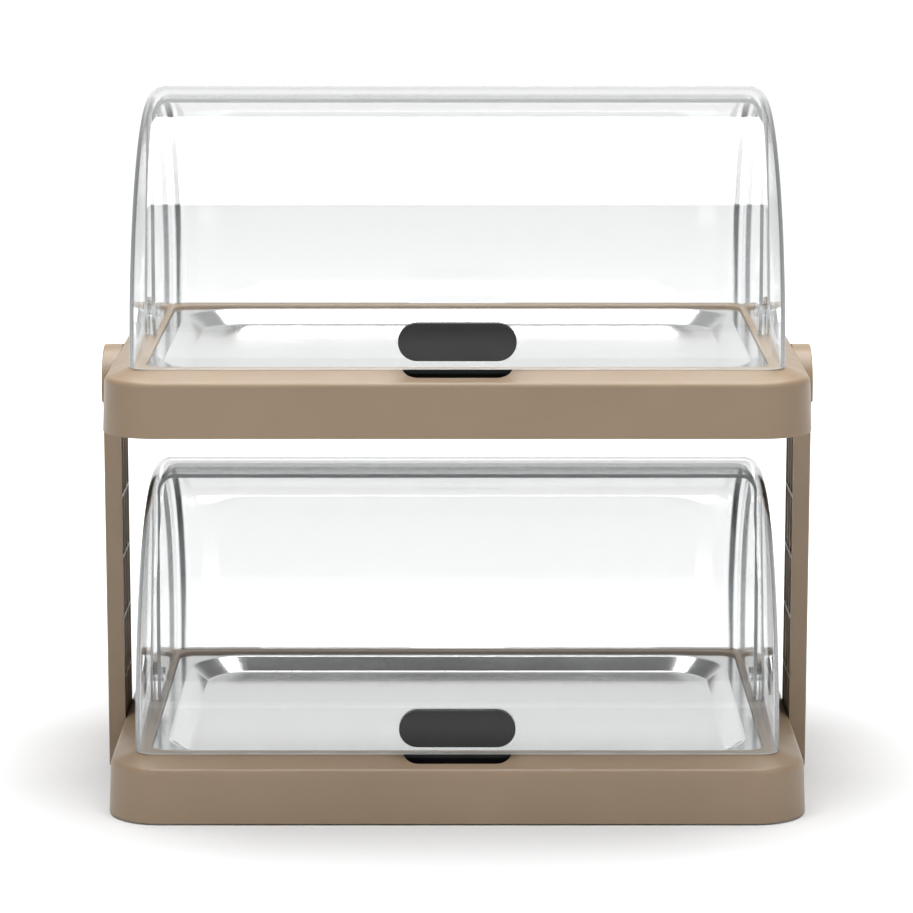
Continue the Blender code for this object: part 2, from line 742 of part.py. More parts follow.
def bracket_mesh():
    """The upright between the hood walls that carries the pivot, with a tongue through the ledge."""
    inner, outer = bracket_faces()
    foot = LEDGE_RISE + CLEAR
    tip = LEDGE_RISE - BRACKET_TONGUE_DROP
    outline = [
        (-BRACKET_TONGUE_HALF, tip),
        (BRACKET_TONGUE_HALF, tip),
        (BRACKET_TONGUE_HALF, foot),
        (BRACKET_FOOT_HALF, foot),
    ]
    steps = 2 * CORNER_STEPS
    for step in range(steps + 1):
        turn = math.pi * step / steps
        outline.append((HUB_RADIUS * math.cos(turn), PIVOT_HEIGHT + HUB_RADIUS * math.sin(turn)))
    outline += [(-BRACKET_FOOT_HALF, foot), (-BRACKET_TONGUE_HALF, foot)]
    plate = slab("bracket", outline, inner, outer)
    bore = turned("bore", [(PIN_HOLE, inner - CUT_OVERRUN), (PIN_HOLE, outer + CUT_OVERRUN)], "X")
    return cut(plate, moved(bore, (0.0, 0.0, PIVOT_HEIGHT)))


def hub_faces():
    """The inner and outer face of the ribbed hub outside the front hood."""
    inner = wall_at_pivot(HOOD_HALF_WIDTH, HOOD_LEAN) + CLEAR
    return inner, inner + HUB_LENGTH


def stud_mesh():
    """The pivot stud: its head inside the rear hood, its end in the ribbed hub."""
    head = wall_at_pivot(REAR_HALF_WIDTH, REAR_HOOD_LEAN) - HOOD_WALL - CLEAR
    tip = hub_faces()[1] - HUB_FLOOR - CLEAR
    profile = [
        (STUD_HEAD_RADIUS, head - STUD_HEAD),
        (STUD_HEAD_RADIUS, head),
        (STUD_RADIUS, head),
        (STUD_RADIUS, tip),
    ]
    return moved(turned("pivot_stud", profile, "X"), (0.0, 0.0, PIVOT_HEIGHT))


def hub_mesh():
    """The ribbed hub on the outer end of the pivot stud."""
    inner, outer = hub_faces()
    crown = HUB_RIB_DEPTH
    profile = [
        (PIN_HOLE, outer - HUB_FLOOR, False),
        (PIN_HOLE, inner, False),
        (HUB_RADIUS, inner, True),
        (HUB_RADIUS, outer - crown, True),
        (HUB_RADIUS - 2 * crown, outer, False),
    ]
    hub = ribbed("pivot_hub", profile, "X", HUB_RIBS, HUB_RIB_DEPTH)
    return moved(hub, (0.0, 0.0, PIVOT_HEIGHT))


def column_row(inset, foot, across):
    """The side view of a column, drawn in all round, at one distance across."""
    half = COLUMN_HALF - inset
    centre = COLUMN_TOP - COLUMN_HALF
    row = [(across, -half, foot + inset), (across, half, foot + inset)]
    steps = 4 * CORNER_STEPS
    for step in range(steps + 1):
        turn = math.pi * step / steps
        row.append((across, half * math.cos(turn), centre + half * math.sin(turn)))
    return row


def column_slab(name, foot, inner, outer):
    """A column form with a flat back and a rounded front edge."""
    rows = [column_row(0.0, foot, inner)]
    for step in range(BEND_STEPS + 1):
        turn = step / BEND_STEPS * math.pi / 2
        inset = COLUMN_EDGE_ROUND * (1 - math.cos(turn))
        rows.append(column_row(inset, foot, outer - COLUMN_EDGE_ROUND * (1 - math.sin(turn))))
    return skinned(name, rows)


def rib_heights():
    """The heights of the cross ribs on a column's back, from its foot to its head."""
    first = COLUMN_SCREW_RISE + BOSS_RADIUS + 2 * COLUMN_RIB
    last = TIER_PITCH - COLUMN_RIB_PITCH / 4
    count = int((last - first) / COLUMN_RIB_PITCH) + 1
    return [first + index * COLUMN_RIB_PITCH for index in range(count)] + [TIER_PITCH]


def column_mesh():
    """A side column: a flat skin with a ribbed back and a slightly prouder head."""
    foot = COLUMN_FOOT_GAP
    body = column_slab("side_column", foot, COLUMN_INNER, COLUMN_OUTER)
    head = column_slab(
        "head", TIER_PITCH, COLUMN_INNER + COLUMN_SKIN, COLUMN_OUTER + COLUMN_HEAD_PROUD
    )
    pocket = (COLUMN_WIDTH - 2 * COLUMN_SKIN - 2 * COLUMN_RIB) / 3
    low_face = COLUMN_INNER - CUT_OVERRUN
    high_face = COLUMN_OUTER - COLUMN_SKIN
    cuts = []
    heights = rib_heights()
    for low, high in zip(heights, heights[1:]):
        for column in (-1, 0, 1):
            middle = column * (pocket + COLUMN_RIB)
            cuts.append(block(
                "pocket",
                (low_face, middle - pocket / 2, low + COLUMN_RIB / 2),
                (high_face, middle + pocket / 2, high - COLUMN_RIB / 2),
            ))
    for tier in (0.0, TIER_PITCH):
        for end in (-1, 1):
            bore = turned("bore", [
                (SCREW_HOLE, low_face), (SCREW_HOLE, COLUMN_INNER + COLUMN_SCREW_BITE + CLEAR)
            ], "X")
            place = (0.0, end * COLUMN_SCREW_REACH, tier + COLUMN_SCREW_RISE)
            cuts.append(moved(bore, place))
    return cut(joined(body, head), *cuts)


def column_screw_mesh():
    """A screw from inside a base wall into a column."""
    profile = [
        (SCREW_HEAD_RADIUS, PAD_FACE - CLEAR - SCREW_HEAD),
        (SCREW_HEAD_RADIUS, PAD_FACE - CLEAR),
        (SCREW_RADIUS, PAD_FACE - CLEAR),
        (SCREW_RADIUS, COLUMN_INNER + COLUMN_SCREW_BITE),
    ]
    return turned("column_screw", profile, "X")


def floor_screw_mesh():
    """A countersunk screw up through the pan into a boss."""
    tip = PAN_TOP + FLOOR_SCREW_BITE
    profile = [
        (SCREW_HEAD_RADIUS, PAN_SINK),
        (SCREW_RADIUS, PAN_SINK + SCREW_HEAD - CLEAR),
        (SCREW_RADIUS, tip),
    ]
    return turned("floor_screw", profile)


def foot_mesh():
    """A rubber foot: a disc under the pan with a stem up through it."""
    shoulder = PAN_SINK - CLEAR
    profile = [
        (FOOT_RADIUS, -FOOT_STAND),
        (FOOT_RADIUS, shoulder),
        (FOOT_STEM_RADIUS, shoulder),
        (FOOT_STEM_RADIUS, shoulder + FOOT_STEM),
    ]
    return turned("foot", profile, steps=FOOT_STEPS)


def empty(name, location, parent=None):
    """A plain axis that other objects hang from."""
    item = bpy.data.objects.new(name, None)
    bpy.context.collection.objects.link(item)
    item.location = location
    item.parent = parent
    return item


def node(name, mesh, surface, parent, location=(0.0, 0.0, 0.0), turn=0.0):
    """One named solid with its own material, smooth where it is round."""
    own = mesh.copy()
    own.name = name
    own.materials.clear()
    own.materials.append(finish(name, surface))
    own.shade_smooth()
    own.set_sharp_from_angle(angle=math.radians(32))
    item = bpy.data.objects.new(name, own)
    bpy.context.collection.objects.link(item)
    item.location = location
    item.rotation_euler = (0.0, 0.0, turn)
    item.parent = parent
    return item


SIDES = {"right": 0.0, "left": math.pi}
CORNERS = {"rear_right": (1, 1), "rear_left": (-1, 1), "front_left": (-1, -1), "front_right": (1, -1)}


def build_tier(tier, height, shapes):
    """One tier: its base, pan, packs, tray, hood halves and pivots."""
    floor = empty(tier, (0.0, 0.0, height))
    node(tier + "_base", shapes["base"], MOULDED, floor)
    node(tier + "_floor_pan", shapes["pan"], MATT_BLACK, floor)
    node(tier + "_steel_tray", shapes["tray"], BRUSHED, floor)
    for hand, turn in SIDES.items():
        node(f"{tier}_ice_pack_{hand}", shapes["pack"], PACK_SHELL, floor, turn=turn)
        node(f"{tier}_ice_pack_cap_{hand}", shapes["pack_cap"], CAP_WHITE, floor, turn=turn)
        node(f"{tier}_pivot_bracket_{hand}", shapes["bracket"], GLAZED, floor, turn=turn)
        node(f"{tier}_pivot_stud_{hand}", shapes["stud"], GLAZED, floor, turn=turn)
        node(f"{tier}_pivot_hub_{hand}", shapes["hub"], GLAZED, floor, turn=turn)
    for corner, (side, end) in CORNERS.items():
        node(f"{tier}_floor_screw_{corner}", shapes["floor_screw"], BRUSHED, floor, boss_place(side, end))
    pivot = (0.0, 0.0, PIVOT_HEIGHT)
    node(tier + "_rear_hood", shapes["rear_hood"], GLAZED, floor, pivot)
    axis = empty(tier + "_hood_axis", pivot, floor)
    node(tier + "_front_hood", shapes["front_hood"], GLAZED, axis)
    node(tier + "_handle", shapes["handle"], MATT_BLACK, axis)
    for hand, side in (("right", 1), ("left", -1)):
        place = handle_screw_place(side)
        node(f"{tier}_handle_screw_{hand}", shapes["handle_screw"], BRUSHED, axis, place)


def build_columns(shapes):
    """The two side columns and the screws that hold both bases to them."""
    stand = empty("stand", (0.0, 0.0, FOOT_STAND))
    for hand, turn in SIDES.items():
        node(f"side_column_{hand}", shapes["column"], MOULDED, stand, turn=turn)
        for tier, height in (("lower", 0.0), ("upper", TIER_PITCH)):
            for end_name, end in (("front", -1), ("rear", 1)):
                place = (0.0, end * COLUMN_SCREW_REACH, height + COLUMN_SCREW_RISE)
                name = f"{tier}_column_screw_{hand}_{end_name}"
                node(name, shapes["column_screw"], BRUSHED, stand, place, turn)
    for corner, (side, end) in CORNERS.items():
        node(f"foot_{corner}", shapes["foot"], SOFT_RUBBER, stand, foot_place(side, end))


def main():
    clear_scene()
    shapes = {
        "base": base_mesh(),
        "pan": pan_mesh(),
        "tray": tray_mesh(),
        "pack": pack_mesh(),
        "pack_cap": pack_cap_mesh(),
        "bracket": bracket_mesh(),
        "stud": stud_mesh(),
        "hub": hub_mesh(),
        "rear_hood": rear_hood_mesh(),
        "front_hood": front_hood_mesh(),
        "handle": handle_mesh(),
        "handle_screw": handle_screw_mesh(),
        "column": column_mesh(),
        "column_screw": column_screw_mesh(),
        "floor_screw": floor_screw_mesh(),
        "foot": foot_mesh(),
    }
    build_tier("lower", FOOT_STAND, shapes)
    build_tier("upper", FOOT_STAND + TIER_PITCH, shapes)
    build_columns(shapes)


main()
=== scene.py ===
"""Looks of the two-tier chilled roll-top display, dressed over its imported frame.

Two moulded bases stand one above the other between two side columns. Each carries a pressed steel tray under
a clear hood in two halves, and the front half rolls up and back over the rear one.
Metres, +Z up, front towards -Y.
"""

import json
import logging
import math
from dataclasses import dataclass, replace
from enum import Enum

import bmesh
import bpy
from mathutils import Matrix, Vector


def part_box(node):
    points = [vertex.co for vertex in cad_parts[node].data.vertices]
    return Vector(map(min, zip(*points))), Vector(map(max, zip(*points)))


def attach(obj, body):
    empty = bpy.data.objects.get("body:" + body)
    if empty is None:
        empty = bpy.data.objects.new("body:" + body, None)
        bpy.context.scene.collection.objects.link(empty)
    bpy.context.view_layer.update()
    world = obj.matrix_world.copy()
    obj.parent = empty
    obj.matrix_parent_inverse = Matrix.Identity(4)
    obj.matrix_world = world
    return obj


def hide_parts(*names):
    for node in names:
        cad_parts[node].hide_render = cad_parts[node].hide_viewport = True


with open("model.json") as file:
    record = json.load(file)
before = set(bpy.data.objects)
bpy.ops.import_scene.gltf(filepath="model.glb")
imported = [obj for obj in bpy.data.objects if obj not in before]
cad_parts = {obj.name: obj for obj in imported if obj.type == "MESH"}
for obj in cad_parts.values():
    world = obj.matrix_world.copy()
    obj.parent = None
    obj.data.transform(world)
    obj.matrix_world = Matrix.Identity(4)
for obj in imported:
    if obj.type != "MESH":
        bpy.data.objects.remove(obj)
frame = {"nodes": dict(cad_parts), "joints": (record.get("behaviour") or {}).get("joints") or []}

MM = 0.001
HAIR = 0.01 * MM
TOUCHING = 0.001 * MM
LOG = logging.getLogger("display")
TURN = 2 * math.pi

NOISE_ROUGHNESS = 0.55
NOISE_MIDDLE = (0.3, 0.7)

Nodes = bpy.types.NodeTree
Socket = bpy.types.NodeSocket
Mesh = bpy.types.Mesh
Piece = bpy.types.Object


class Tier(Enum):
    """The two tiers, by the word that starts their pieces' names."""

    LOWER = "lower"
    UPPER = "upper"

    def piece(self, name: str) -> str:
        """The full name of one of this tier's pieces."""
        return f"{self.value}_{name}"

    @property
    def hood_body(self) -> str:
        """The body that this tier's front hood rides on."""
        return f"{self.value}_roll_hood"

    @property
    def floor(self) -> float:
        """The height of the underside of this tier's base."""
        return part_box(self.piece("base"))[0].z

    @property
    def pivot(self) -> Vector:
        """The middle of this tier's hood axis."""
        joint = next(j for j in frame["joints"] if j["child"] == self.hood_body)
        return Vector(joint["pos_m"])


class Hand(Enum):
    """The two sides of the display, as its front is seen."""

    RIGHT = 1
    LEFT = -1

    @property
    def word(self) -> str:
        """The word that ends the names of this side's pieces."""
        return self.name.lower()

    @property
    def turn(self) -> Matrix:
        """The turn that carries a right piece to this side."""
        return Matrix.Rotation(0.0 if self is Hand.RIGHT else math.pi, 4, "Z")


class HoodHalf(Enum):
    """The two halves of a hood, by the way each one faces."""

    FRONT = 1
    REAR = -1


STAND = "stand"


def linear(colour: str) -> tuple[float, float, float, float]:
    """Turns an sRGB hex colour into a linear one.

    Args:
        colour: Six hex digits.

    Returns:
        Red, green, blue and an alpha of one.
    """
    shares = [int(colour[place : place + 2], 16) / 255 for place in (0, 2, 4)]
    bend, foot, slope, power, lift = 0.04045, 12.92, 1.055, 2.4, 0.055
    parts = [s / foot if s <= bend else ((s + lift) / slope) ** power for s in shares]
    return (parts[0], parts[1], parts[2], 1.0)


def add(
    tree: Nodes, kind: str, values: dict | None = None, links: dict | None = None, **settings
) -> bpy.types.Node:
    """Adds one node.

    Args:
        tree: The node tree.
        kind: The node's type name.
        values: Values for its input sockets, by name or number.
        links: Sockets, or nodes by their first output, that feed its inputs, by name or number.
        **settings: The node's own properties.

    Returns:
        The node.
    """
    node = tree.nodes.new(kind)
    for name, value in settings.items():
        setattr(node, name, value)
    for key, value in (values or {}).items():
        node.inputs[key].default_value = value
    for key, source in (links or {}).items():
        socket = source.outputs[0] if isinstance(source, bpy.types.Node) else source
        tree.links.new(socket, node.inputs[key])
    return node


@dataclass(frozen=True)
class Finish:
    """What every finish has: its name, which says the material and how its surface was made."""

    name: str

    def material(self) -> bpy.types.Material:
        """The finish as a material, made once and shared."""
        if self.name in bpy.data.materials:
            return bpy.data.materials[self.name]
        made = bpy.data.materials.new(self.name)
        made.use_nodes = True
        made.node_tree.nodes.clear()
        add(made.node_tree, "ShaderNodeOutputMaterial", links={"Surface": self.shader(made.node_tree)})
        return made

    def shader(self, tree: Nodes) -> Socket:
        """The finish's nodes, as the socket of its shader."""
        raise NotImplementedError

    def pattern(
        self, tree: Nodes, size: float, stretch: tuple = (1.0, 1.0, 1.0), detail: float = 2.0
    ) -> Socket:
        """A noise on the piece's own coordinates.

        Args:
            tree: The node tree.
            size: How far apart the pattern's features lie, in metres.
            stretch: How much longer the features are along each axis.
            detail: The noise's octaves.

        Returns:
            The noise as a value socket.
        """
        place = add(tree, "ShaderNodeTexCoord").outputs["Object"]
        scale = [1 / share for share in stretch]
        fitted = add(tree, "ShaderNodeMapping", {"Scale": scale}, {"Vector": place})
        noise = {"Scale": 1 / size, "Detail": detail, "Roughness": NOISE_ROUGHNESS}
        return add(tree, "ShaderNodeTexNoise", noise, {"Vector": fitted}).outputs[0]

    def spread(self, tree: Nodes, value: Socket, low: float, high: float) -> Socket:
        """A noise's middle stretch mapped to a range of values."""
        start, end = NOISE_MIDDLE
        ends = {"From Min": start, "From Max": end, "To Min": low, "To Max": high}
        return add(tree, "ShaderNodeMapRange", ends, {"Value": value}).outputs[0]

    def blend(self, tree: Nodes, share: Socket, first: str, second: str) -> Socket:
        """Two hex colours mixed by a share."""
        ends = {"A": linear(first), "B": linear(second)}
        mix = add(tree, "ShaderNodeMix", data_type="RGBA")
        for name, colour in ends.items():
            next(s for s in mix.inputs if s.name == name and s.type == "RGBA").default_value = colour
        tree.links.new(share, mix.inputs["Factor"])
        return next(s for s in mix.outputs if s.type == "RGBA")


@dataclass(frozen=True)
class MouldedPlastic(Finish):
    """An opaque injection-moulded plastic with the fine grain of a spark-eroded mould."""

    shade: str
    tint: str
    roughness: tuple[float, float]
    grain: float = 0.9 * MM
    relief: float = 0.012 * MM
    flow: float = 85.0 * MM
    patches: float = 6.0

    def shader(self, tree: Nodes) -> Socket:
        """Slow drifts of colour and gloss from the melt's flow, under a fine even grain."""
        drift = self.pattern(tree, self.flow)
        colour = self.blend(tree, self.spread(tree, drift, 0.0, 1.0), self.shade, self.tint)
        gloss = self.spread(tree, self.pattern(tree, self.flow / self.patches), *self.roughness)
        grain = self.pattern(tree, self.grain, detail=3.0)
        bump = add(tree, "ShaderNodeBump", {"Strength": 1.0, "Distance": self.relief}, {"Height": grain})
        links = {"Base Color": colour, "Roughness": gloss, "Normal": bump}
        return add(tree, "ShaderNodeBsdfPrincipled", {"IOR": 1.5}, links).outputs[0]


@dataclass(frozen=True)
class ClearPlastic(Finish):
    """Clear polycarbonate, injection moulded in a polished mould."""

    tint: str
    # The dark grey of the painted shade on the shoulders, and the band of sideways turn where it lies
    smoke: str = "383b3e"
    bend: tuple[float, float] | None = None
    ior: float = 1.585
    ripple: float = 55.0 * MM
    relief: float = 0.02 * MM
    # How softly the painted shade band ends, and the slant of view over which it fades in
    soft: float = 0.06
    away: tuple[float, float] = (0.02, 0.14)
    open_air: str = "f6f7f7"

    def painted_shoulder_shade(self, tree: Nodes) -> Socket:
        """The share of painted shade on the wall: a band of sideways turn over its shoulders, faded out where
        the wall faces the eye.
        """
        normal = add(tree, "ShaderNodeTexCoord").outputs["Normal"]
        across = add(tree, "ShaderNodeSeparateXYZ", links={0: normal}).outputs["X"]
        turn = add(tree, "ShaderNodeMath", links={0: across}, operation="ABSOLUTE")
        facing = add(tree, "ShaderNodeLayerWeight", {"Blend": 0.5}).outputs["Facing"]
        low, high = self.bend
        into = (low - self.soft, low + self.soft, turn)
        out = (high + self.soft / 2, high - self.soft / 2, turn)
        share, *others = (
            add(tree, "ShaderNodeMapRange", {"From Min": start, "From Max": end}, {"Value": value})
            for start, end, value in (into, out, (*self.away, facing))
        )
        for other in others:
            share = add(tree, "ShaderNodeMath", links={0: share, 1: other}, operation="MULTIPLY")
        return share.outputs[0]

    def shader(self, tree: Nodes) -> Socket:
        """Glass-clear with long faint ripples, and painted shade on the shoulders where a band is given. Rays
        from lamps and matt surfaces pass straight through.
        """
        wave = self.pattern(tree, self.ripple, detail=0.0)
        bump = add(tree, "ShaderNodeBump", {"Strength": 1.0, "Distance": self.relief}, {"Height": wave})
        values = {"Base Color": linear(self.tint), "Roughness": 0.0, "IOR": self.ior}
        links = {"Normal": bump}
        # Painted shade: the wall's colour is blended towards the dark grey over the shoulders
        if self.bend:
            links["Base Color"] = self.blend(tree, self.painted_shoulder_shade(tree), self.tint, self.smoke)
        glass = add(tree, "ShaderNodeBsdfPrincipled", values | {"Transmission Weight": 1.0}, links)
        open_air = add(tree, "ShaderNodeBsdfTransparent", {"Color": linear(self.open_air)})
        path = add(tree, "ShaderNodeLightPath").outputs
        lit = add(
            tree, "ShaderNodeMath", links={0: path["Is Shadow Ray"], 1: path["Is Diffuse Ray"]},
            operation="MAXIMUM",
        )
        return add(tree, "ShaderNodeMixShader", links={0: lit, 1: glass, 2: open_air}).outputs[0]


@dataclass(frozen=True)
class CutEdge(Finish):
    """The satin edge of a clear sheet where it was trimmed."""

    shade: str
    roughness: tuple[float, float]
    patch: float = 6.0 * MM
    clearness: float = 0.55
    ior: float = 1.585

    def shader(self, tree: Nodes) -> Socket:
        """Half frosted: it blurs what lies behind and catches the light from above."""
        gloss = self.spread(tree, self.pattern(tree, self.patch), *self.roughness)
        values = {
            "Base Color": linear(self.shade), "IOR": self.ior, "Transmission Weight": self.clearness
        }
        return add(tree, "ShaderNodeBsdfPrincipled", values, {"Roughness": gloss}).outputs[0]


@dataclass(frozen=True)
class RolledSteel(Finish):
    """Stainless sheet, cold rolled to a soft sheen and pressed."""

    shade: str
    tint: str
    roughness: tuple[float, float]
    line: float = 0.7 * MM
    relief: float = 0.0012 * MM
    run: float = 90.0
    cloud: float = 60.0
    cloud_run: float = 2.0

    def shader(self, tree: Nodes) -> Socket:
        """Rolling lines that run across the width, and cloudy patches of gloss."""
        lines = self.pattern(tree, self.line, (self.run, 1.0, 1.0), 3.0)
        clouds = self.pattern(tree, self.cloud * self.line, (self.cloud_run, 1.0, 1.0))
        colour = self.blend(tree, lines, self.shade, self.tint)
        gloss = self.spread(tree, clouds, *self.roughness)
        bump = add(tree, "ShaderNodeBump", {"Strength": 1.0, "Distance": self.relief}, {"Height": lines})
        links = {"Base Color": colour, "Roughness": gloss, "Normal": bump}
        return add(tree, "ShaderNodeBsdfPrincipled", {"Metallic": 1.0}, links).outputs[0]


# ABS with a matt mould grain: reads as one soft, slightly warm taupe with a dull edge shine
TAUPE = MouldedPlastic("moulded taupe ABS", "927d66", "97826a", (0.34, 0.42))
# Matt black on the hollow, the notch cuts and the floor pans: painted shade, dull, so the finger notches read
# as dark openings
PAINTED_SHADE_BLACK = MouldedPlastic("matt black painted shade ABS", "101010", "161616", (0.60, 0.70))
# Black nylon with a fine spark grain: a soft grey sheen where it turns to the light
HANDLE_BLACK = MouldedPlastic("spark-grained black nylon", "0b0b0b", "121212", (0.34, 0.44), 0.7 * MM)
# Blow-moulded polyethylene: waxy, with slow thickness clouds
PACK_BLUE = MouldedPlastic("blow-moulded blue polyethylene", "5d7fa8", "7496bb", (0.38, 0.50), 1.5 * MM)
# Injection-moulded polypropylene: a cool white with a slight shine
CAP_WHITE = MouldedPlastic("moulded white polypropylene", "dcdcd6", "e6e6e1", (0.35, 0.45))
# Nitrile rubber: nearly black and quite dull
RUBBER = MouldedPlastic("moulded nitrile rubber", "161616", "1f1f1f", (0.75, 0.85), 1.2 * MM)
# Polished polycarbonate of the front half: clear, with grey strokes of painted shade over its shoulders
CLEAR_FRONT = ClearPlastic("polished polycarbonate, front half", "f5f6f6", bend=(0.82, 0.985))
# Polished polycarbonate of the rear half: the same, with the painted shade strokes nearer the back
CLEAR_REAR = ClearPlastic("polished polycarbonate, rear half", "f5f6f6", bend=(0.36, 0.72))
# Polished polycarbonate in small fittings: clear all over
CLEAR = ClearPlastic("polished polycarbonate, fittings", "f6f8f9")
# Trimmed polycarbonate edge: satin, so the foot of a hood draws a bright line
CUT_EDGE = CutEdge("trimmed polycarbonate edge", "eef0f1", (0.30, 0.42))
# Cold-rolled 18/8 stainless: bright grey with streaked, blurred reflections
STEEL = RolledSteel("cold-rolled stainless steel", "e4e4e3", "eaeae9", (0.12, 0.16))
# Zinc-plated steel: greyer and duller than stainless
ZINC = RolledSteel("zinc-plated steel", "9fa3a6", "b4b8bb", (0.30, 0.42), 0.3 * MM)


@dataclass(frozen=True)
class Level:
    """One level of a rounded rectangular form: half sizes, corner radius and height."""

    half_x: float
    half_y: float
    corner: float
    height: float

    def drawn_in(self, inset: float, rise: float = 0.0) -> "Level":
        """The same outline drawn in all round and lifted."""
        least = 2 * MM
        corner = max(self.corner - inset, least)
        return Level(self.half_x - inset, self.half_y - inset, corner, self.height + rise)


class Form:
    """A mesh in the making, with the few operations that the display's pieces share."""

    def __init__(self) -> None:
        """Starts an empty mesh."""
        self.mesh = bmesh.new()

    def everything(self) -> list:
        """All its vertices, edges and faces."""
        return list(self.mesh.verts) + list(self.mesh.edges) + list(self.mesh.faces)

    def plate(self, half_x: float, half_y: float, middle: tuple[float, float, float]) -> list:
        """Draws a flat rectangle.

        Args:
            half_x: Half its size along X.
            half_y: Half its size along Y.
            middle: Its centre.

        Returns:
            Its four corners.
        """
        place = Matrix.Translation(middle) @ Matrix.Diagonal((half_x, half_y, 1.0, 1.0))
        made = bmesh.ops.create_grid(self.mesh, x_segments=1, y_segments=1, size=1.0, matrix=place)
        return made["verts"]

    def round_corners(self, corners: list, size: float, steps: int, clamp: bool = False) -> dict:
        """Rounds corners off in their plane, and gives what the bevel made."""
        return bmesh.ops.bevel(
            self.mesh, geom=corners, offset=size, offset_type="OFFSET", segments=steps,
            profile=0.5, affect="VERTICES", material=-1, clamp_overlap=clamp,
        )

    def raise_plate(self, rise: float) -> list:
        """Extrudes the flat plate upwards into a closed block, and gives the edges round its top."""
        raised = bmesh.ops.extrude_face_region(self.mesh, geom=list(self.mesh.faces), use_keep_orig=True)
        lifted = [part for part in raised["geom"] if isinstance(part, bmesh.types.BMVert)]
        bmesh.ops.translate(self.mesh, vec=(0.0, 0.0, rise), verts=lifted)
        top = set(lifted)
        return [edge for edge in self.mesh.edges if edge.verts[0] in top and edge.verts[1] in top]

    def outline(self, level: Level, steps: int = 16) -> list:
        """Draws one level.

        Args:
            level: The rounded rectangle.
            steps: Segments in each corner.

        Returns:
            The loop's edges.
        """
        corners = self.plate(level.half_x, level.half_y, (0.0, 0.0, level.height))
        rounded = self.round_corners(corners, level.corner, steps)
        face = rounded["verts"][0].link_faces[0]
        edges = list(face.edges)
        bmesh.ops.delete(self.mesh, geom=[face], context="FACES_ONLY")
        return edges

    def loft(
        self, levels: list[Level], ring: bool = False, steps: int = 16, shade_lined: int = 0
    ) -> list[list]:
        """Draws levels and joins each to the next.

        Args:
            levels: The levels in order.
            ring: Whether the last one joins the first.
            steps: Segments in each corner.
            shade_lined: The level from which on the faces get the second material, if any.

        Returns:
            The loops of edges, one list for each level.
        """
        # The loops stand a step apart while they are joined, as loops in one plane can join up crossed
        apart = [replace(level, height=float(step)) for step, level in enumerate(levels)]
        loops = [self.outline(level, steps) for level in apart]
        pairs = list(zip(loops, loops[1:]))
        if ring:
            pairs.append((loops[-1], loops[0]))
        for number, (near, far) in enumerate(pairs):
            joined = bmesh.ops.bridge_loops(self.mesh, edges=near + far)
            for face in joined["faces"]:
                face.material_index = int(0 < shade_lined <= number < len(levels) - 1)
        for loop, level in zip(loops, levels):
            for vert in {v for edge in loop for v in edge.verts}:
                vert.co.z = level.height
        return loops

    def cap(self, loop: list) -> None:
        """Closes a loop of edges with one face."""
        bmesh.ops.contextual_create(self.mesh, geom=loop)

    def soften(self, edges: list, size: float, steps: int = 4) -> None:
        """Rounds edges off."""
        bmesh.ops.bevel(
            self.mesh, geom=edges, offset=size, offset_type="OFFSET", segments=steps,
            profile=0.5, affect="EDGES", material=-1, clamp_overlap=True,
        )

    def block(self, low: Vector, high: Vector) -> None:
        """Adds a block between two corners."""
        middle, size = (low + high) / 2, high - low
        place = Matrix.Translation(middle) @ Matrix.Diagonal((*size, 1.0))
        bmesh.ops.create_cube(self.mesh, size=1.0, matrix=place)

    def turned(self, profile: list[tuple], steps: int, rounds: dict[int, float] | None = None) -> None:
        """Spins a profile about the X axis.

        Args:
            profile: Points as distance along X and radius.
            steps: Segments in the full turn.
            rounds: Corner radii for some of the points, by their number.
        """
        points = bmesh.ops.create_vert(self.mesh)["vert"]
        for _ in profile[1:]:
            points += bmesh.ops.extrude_vert_indiv(self.mesh, verts=points[-1:])["verts"]
        for point, (along, radius) in zip(points, profile):
            point.co = (along, 0.0, radius)
        for number, size in (rounds or {}).items():
            self.round_corners([points[number]], size, steps=10)
        bmesh.ops.spin(
            self.mesh, geom=self.everything(), cent=(0.0, 0.0, 0.0), axis=(1.0, 0.0, 0.0), angle=TURN,
            steps=steps, use_merge=True, use_duplicate=False,
        )
        bmesh.ops.remove_doubles(self.mesh, verts=self.mesh.verts, dist=TOUCHING)

    def trim(self, point: Vector, outward: Vector, clear: bool = True, fill: bool = False) -> None:
        """Cuts along a plane.

        Args:
            point: A point on the plane.
            outward: The way that the plane faces.
            clear: Whether what lies beyond it goes.
            fill: Whether the cut is closed.
        """
        cut = bmesh.ops.bisect_plane(
            self.mesh, geom=self.everything(), dist=TOUCHING, plane_co=point, plane_no=outward,
            clear_outer=clear,
        )
        if fill:
            self.cap([part for part in cut["geom_cut"] if isinstance(part, bmesh.types.BMEdge)])

    def moved(self, matrix: Matrix) -> "Form":
        """Moves the whole mesh."""
        bmesh.ops.transform(self.mesh, matrix=matrix, verts=self.mesh.verts)
        return self

    def outward(self, about: Vector | None = None) -> "Form":
        """Turns every face outwards, away from a point where the form is an open shell."""
        bmesh.ops.recalc_face_normals(self.mesh, faces=self.mesh.faces)
        if about is not None:
            facing = (
                face.normal.dot(face.calc_center_median() - about) * face.calc_area()
                for face in self.mesh.faces
            )
            if sum(facing) < 0:
                bmesh.ops.reverse_faces(self.mesh, faces=self.mesh.faces)
        return self

    def data(self, name: str) -> Mesh:
        """Ends the making and gives the mesh."""
        mesh = bpy.data.meshes.new(name)
        self.mesh.to_mesh(mesh)
        self.mesh.free()
        return mesh


def linked(name: str, data: bpy.types.ID) -> Piece:
    """A new object in the scene."""
    item = bpy.data.objects.new(name, data)
    bpy.context.collection.objects.link(item)
    return item


